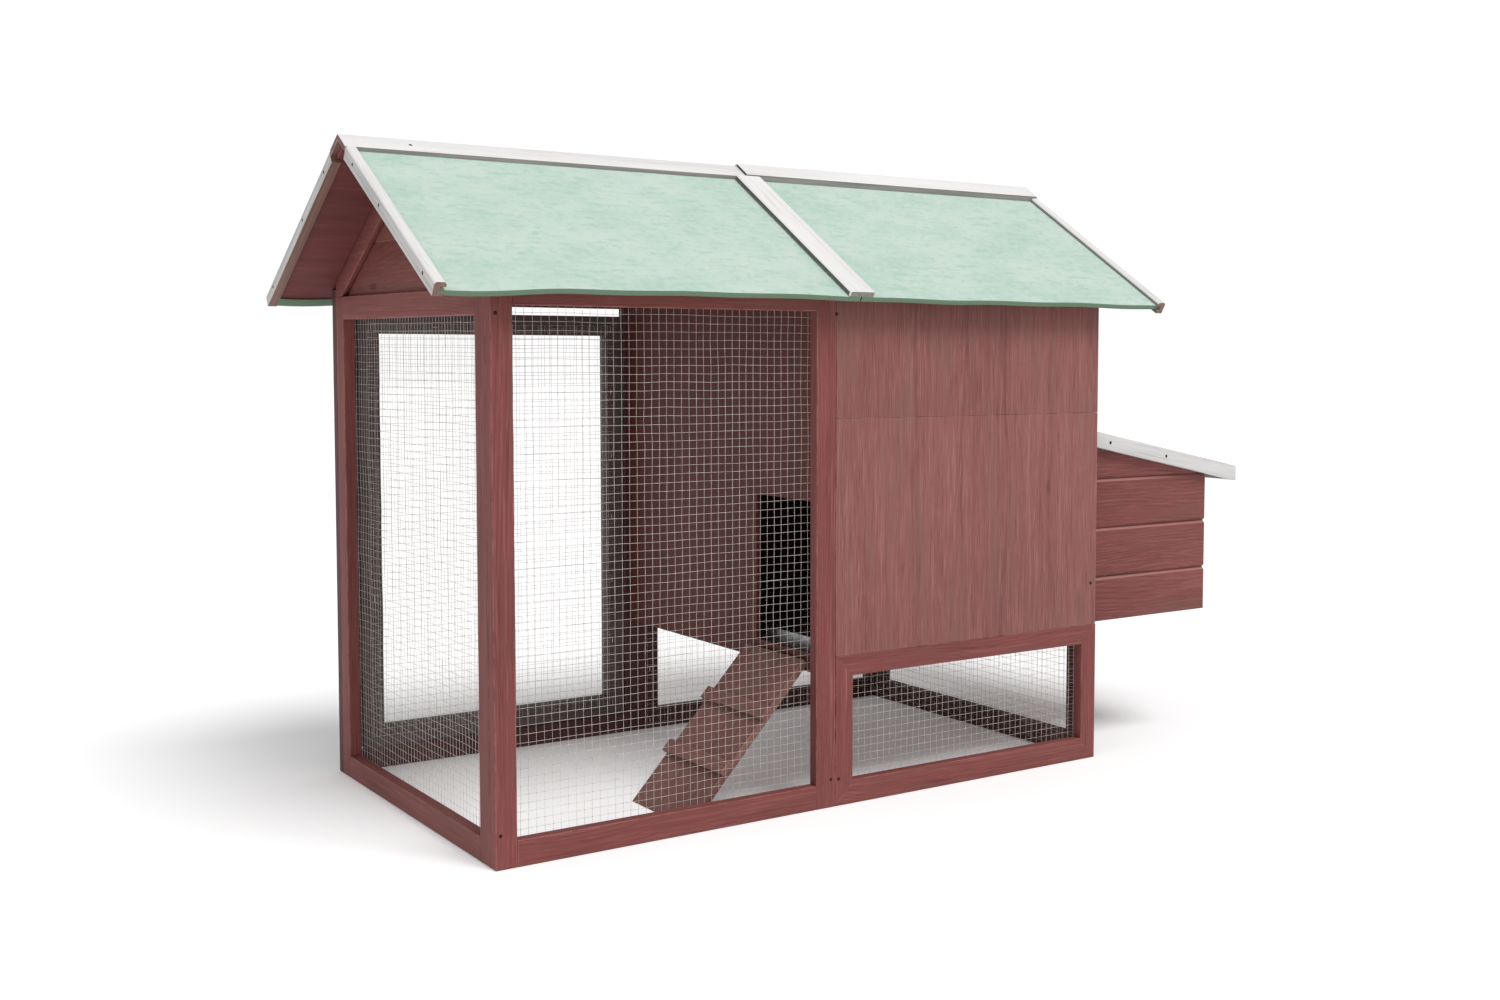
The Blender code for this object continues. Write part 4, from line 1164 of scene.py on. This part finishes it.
HEAD_RADIUS = 0.0030
HEAD_DEPTH = 0.0016
HEAD_SUNK = 0.0007
RECESS_LONG = 0.0036
RECESS_WIDE = 0.0008
HINGE_PLATE = 0.0015
HOLE_ASIDE = 0.020
TRIM_SCREWS = (0.070, 0.185, 0.360)
LID_SCREWS = (0.500, 0.650)
SCREW = make_screw()
BLACKED = make_screw_steel("blacked steel", (0.018, 0.016, 0.016), (0.060, 0.050, 0.047))
BROWNED = make_screw_steel("browned steel", (0.090, 0.060, 0.050), (0.190, 0.140, 0.115))
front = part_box("front_left_stile")[0].y
lower_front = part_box("lower_front_frame")[0].y
panel_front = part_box("house_front_panel")[0].y
spots = (
    (-0.742, front, 0.814),
    (-0.742, front, 0.051),
    (-0.151, front, 0.8225),
    (-0.160, front, 0.047),
    (-0.1445, lower_front, 0.0455),
    (0.424, panel_front, 0.331),
)
drive_screws("front_screw", "coop", BLACKED, [(spot, (0.0, -1.0, 0.0)) for spot in spots])
places = [
    ((x, y, lid_height(x) - STRIP_DEPTH / 2), (0.0, facing, 0.0))
    for y, facing in ((lid_low.y, -1.0), (lid_high.y, 1.0))
    for x in LID_SCREWS
]
drive_screws("lid_screw", "nest_lid", BLACKED, places)
for slope, side in (("front", -1), ("back", 1)):
    up = Vector((0.0, side * math.sin(PITCH), math.cos(PITCH)))
    low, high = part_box(f"ridge_board_{slope}_left")
    middle_y = side * 0.021 * math.cos(PITCH)
    height = high.z - RIDGE_STEP - abs(middle_y) * math.tan(PITCH)
    drive_screws(f"ridge_screw_{slope}", "coop", BLACKED, [((low.x + 0.11, middle_y, height), up)])
    for half, outward in (("left", -1.0), ("right", 1.0)):
        low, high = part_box(f"gable_trim_{slope}_{half}")
        face = low.x if outward < 0 else high.x
        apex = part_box(f"roof_sheet_{slope}_{half}")[1].z
        places = []
        for distance in TRIM_SCREWS:
            height = apex - distance * math.tan(PITCH) - 0.004
            places.append(((face, side * distance, height), (outward, 0.0, 0.0)))
        drive_screws(f"trim_screw_{slope}_{half}", "coop", BROWNED, places)
for name in sorted(nodes):
    low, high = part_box(name)
    middle = (low + high) / 2
    if name.startswith("door_hinge"):
        on_door = name.endswith("door_leaf")
        plate = low.x + (0.65 if on_door else 0.35) * (high.x - low.x)
        face, facing = low.y + HINGE_PLATE, (0.0, 1.0, 0.0)
        places = [((plate, face, middle.z + aside), facing) for aside in (-HOLE_ASIDE, HOLE_ASIDE)]
        drive_screws(f"{name}_screw", "run_door" if on_door else "coop", ZINC, places)
    if name.startswith("lid_hinge"):
        plate = low.z + 0.65 * (high.z - low.z)
        face, facing = low.x + HINGE_PLATE, (1.0, 0.0, 0.0)
        places = [((face, middle.y + aside, plate), facing) for aside in (-HOLE_ASIDE, HOLE_ASIDE)]
        drive_screws(f"{name}_screw", "coop", ZINC, places)
bpy.data.objects.remove(SCREW)

# ---- Stage --------------------------------------------------------------------------------------
# A pale floor that runs into a white surround, two far soft lights (the key from high in front, the
# weaker one from the left) and the camera at a child's eye level off the run's front corner.
CAMERA_PLACE = (-1.6864, -2.6152, 0.7650)
CAMERA_YAW = -0.6344
CAMERA_PITCH = -0.0638
CAMERA_ROLL = 0.0051
FOCAL_LENGTH = 39.72

bpy.ops.object.select_all(action="DESELECT")
bpy.ops.mesh.primitive_plane_add(size=60.0, location=(0.0, 0.0, -0.0005))
floor = bpy.context.object
floor.name = "floor"
material, tree, shader = start_material("pale floor")
shader.inputs["Base Color"].default_value = (0.93, 0.93, 0.93, 1.0)
shader.inputs["Roughness"].default_value = 0.9
shader.inputs["Emission Color"].default_value = (1.0, 1.0, 1.0, 1.0)
shader.inputs["Emission Strength"].default_value = 0.10
coat(floor, material)

world = bpy.data.worlds.new("surround")
bpy.context.scene.world = world
world.use_nodes = True
sky = world.node_tree
seen = add_node(sky, "ShaderNodeLightPath").outputs["Is Camera Ray"]
strength = add_node(sky, "ShaderNodeMapRange", {"Value": seen, "To Min": 0.46, "To Max": 1.03}).outputs[0]
sky.nodes["Background"].inputs["Color"].default_value = (1.0, 1.0, 1.0, 1.0)
sky.links.new(strength, sky.nodes["Background"].inputs["Strength"])


def soft_light(name, direction, spread, strength):
    """Light from far off in one direction, spread over a wide angle so that its shadows are soft."""
    lamp = bpy.data.lights.new(name, "SUN")
    lamp.angle = math.radians(spread)
    lamp.energy = strength
    holder = bpy.data.objects.new(name, lamp)
    bpy.context.scene.collection.objects.link(holder)
    holder.rotation_euler = Vector(direction).to_track_quat("-Z", "Y").to_euler()


soft_light("key", (-0.09, 0.53, -0.84), 28.0, 2.30)
soft_light("left fill", (0.85, 0.25, -0.45), 50.0, 0.32)

lens = bpy.data.cameras.new("camera")
lens.lens = FOCAL_LENGTH
lens.sensor_width = 36.0
lens.shift_x = -0.099
lens.shift_y = -0.030
camera = bpy.data.objects.new("camera", lens)
bpy.context.scene.collection.objects.link(camera)
turn = Matrix.Rotation(CAMERA_YAW, 4, "Z") @ Matrix.Rotation(math.pi / 2 + CAMERA_PITCH, 4, "X")
camera.matrix_world = Matrix.Translation(CAMERA_PLACE) @ turn @ Matrix.Rotation(CAMERA_ROLL, 4, "Z")
bpy.context.scene.camera = camera
bpy.context.scene.view_settings.view_transform = "Standard"
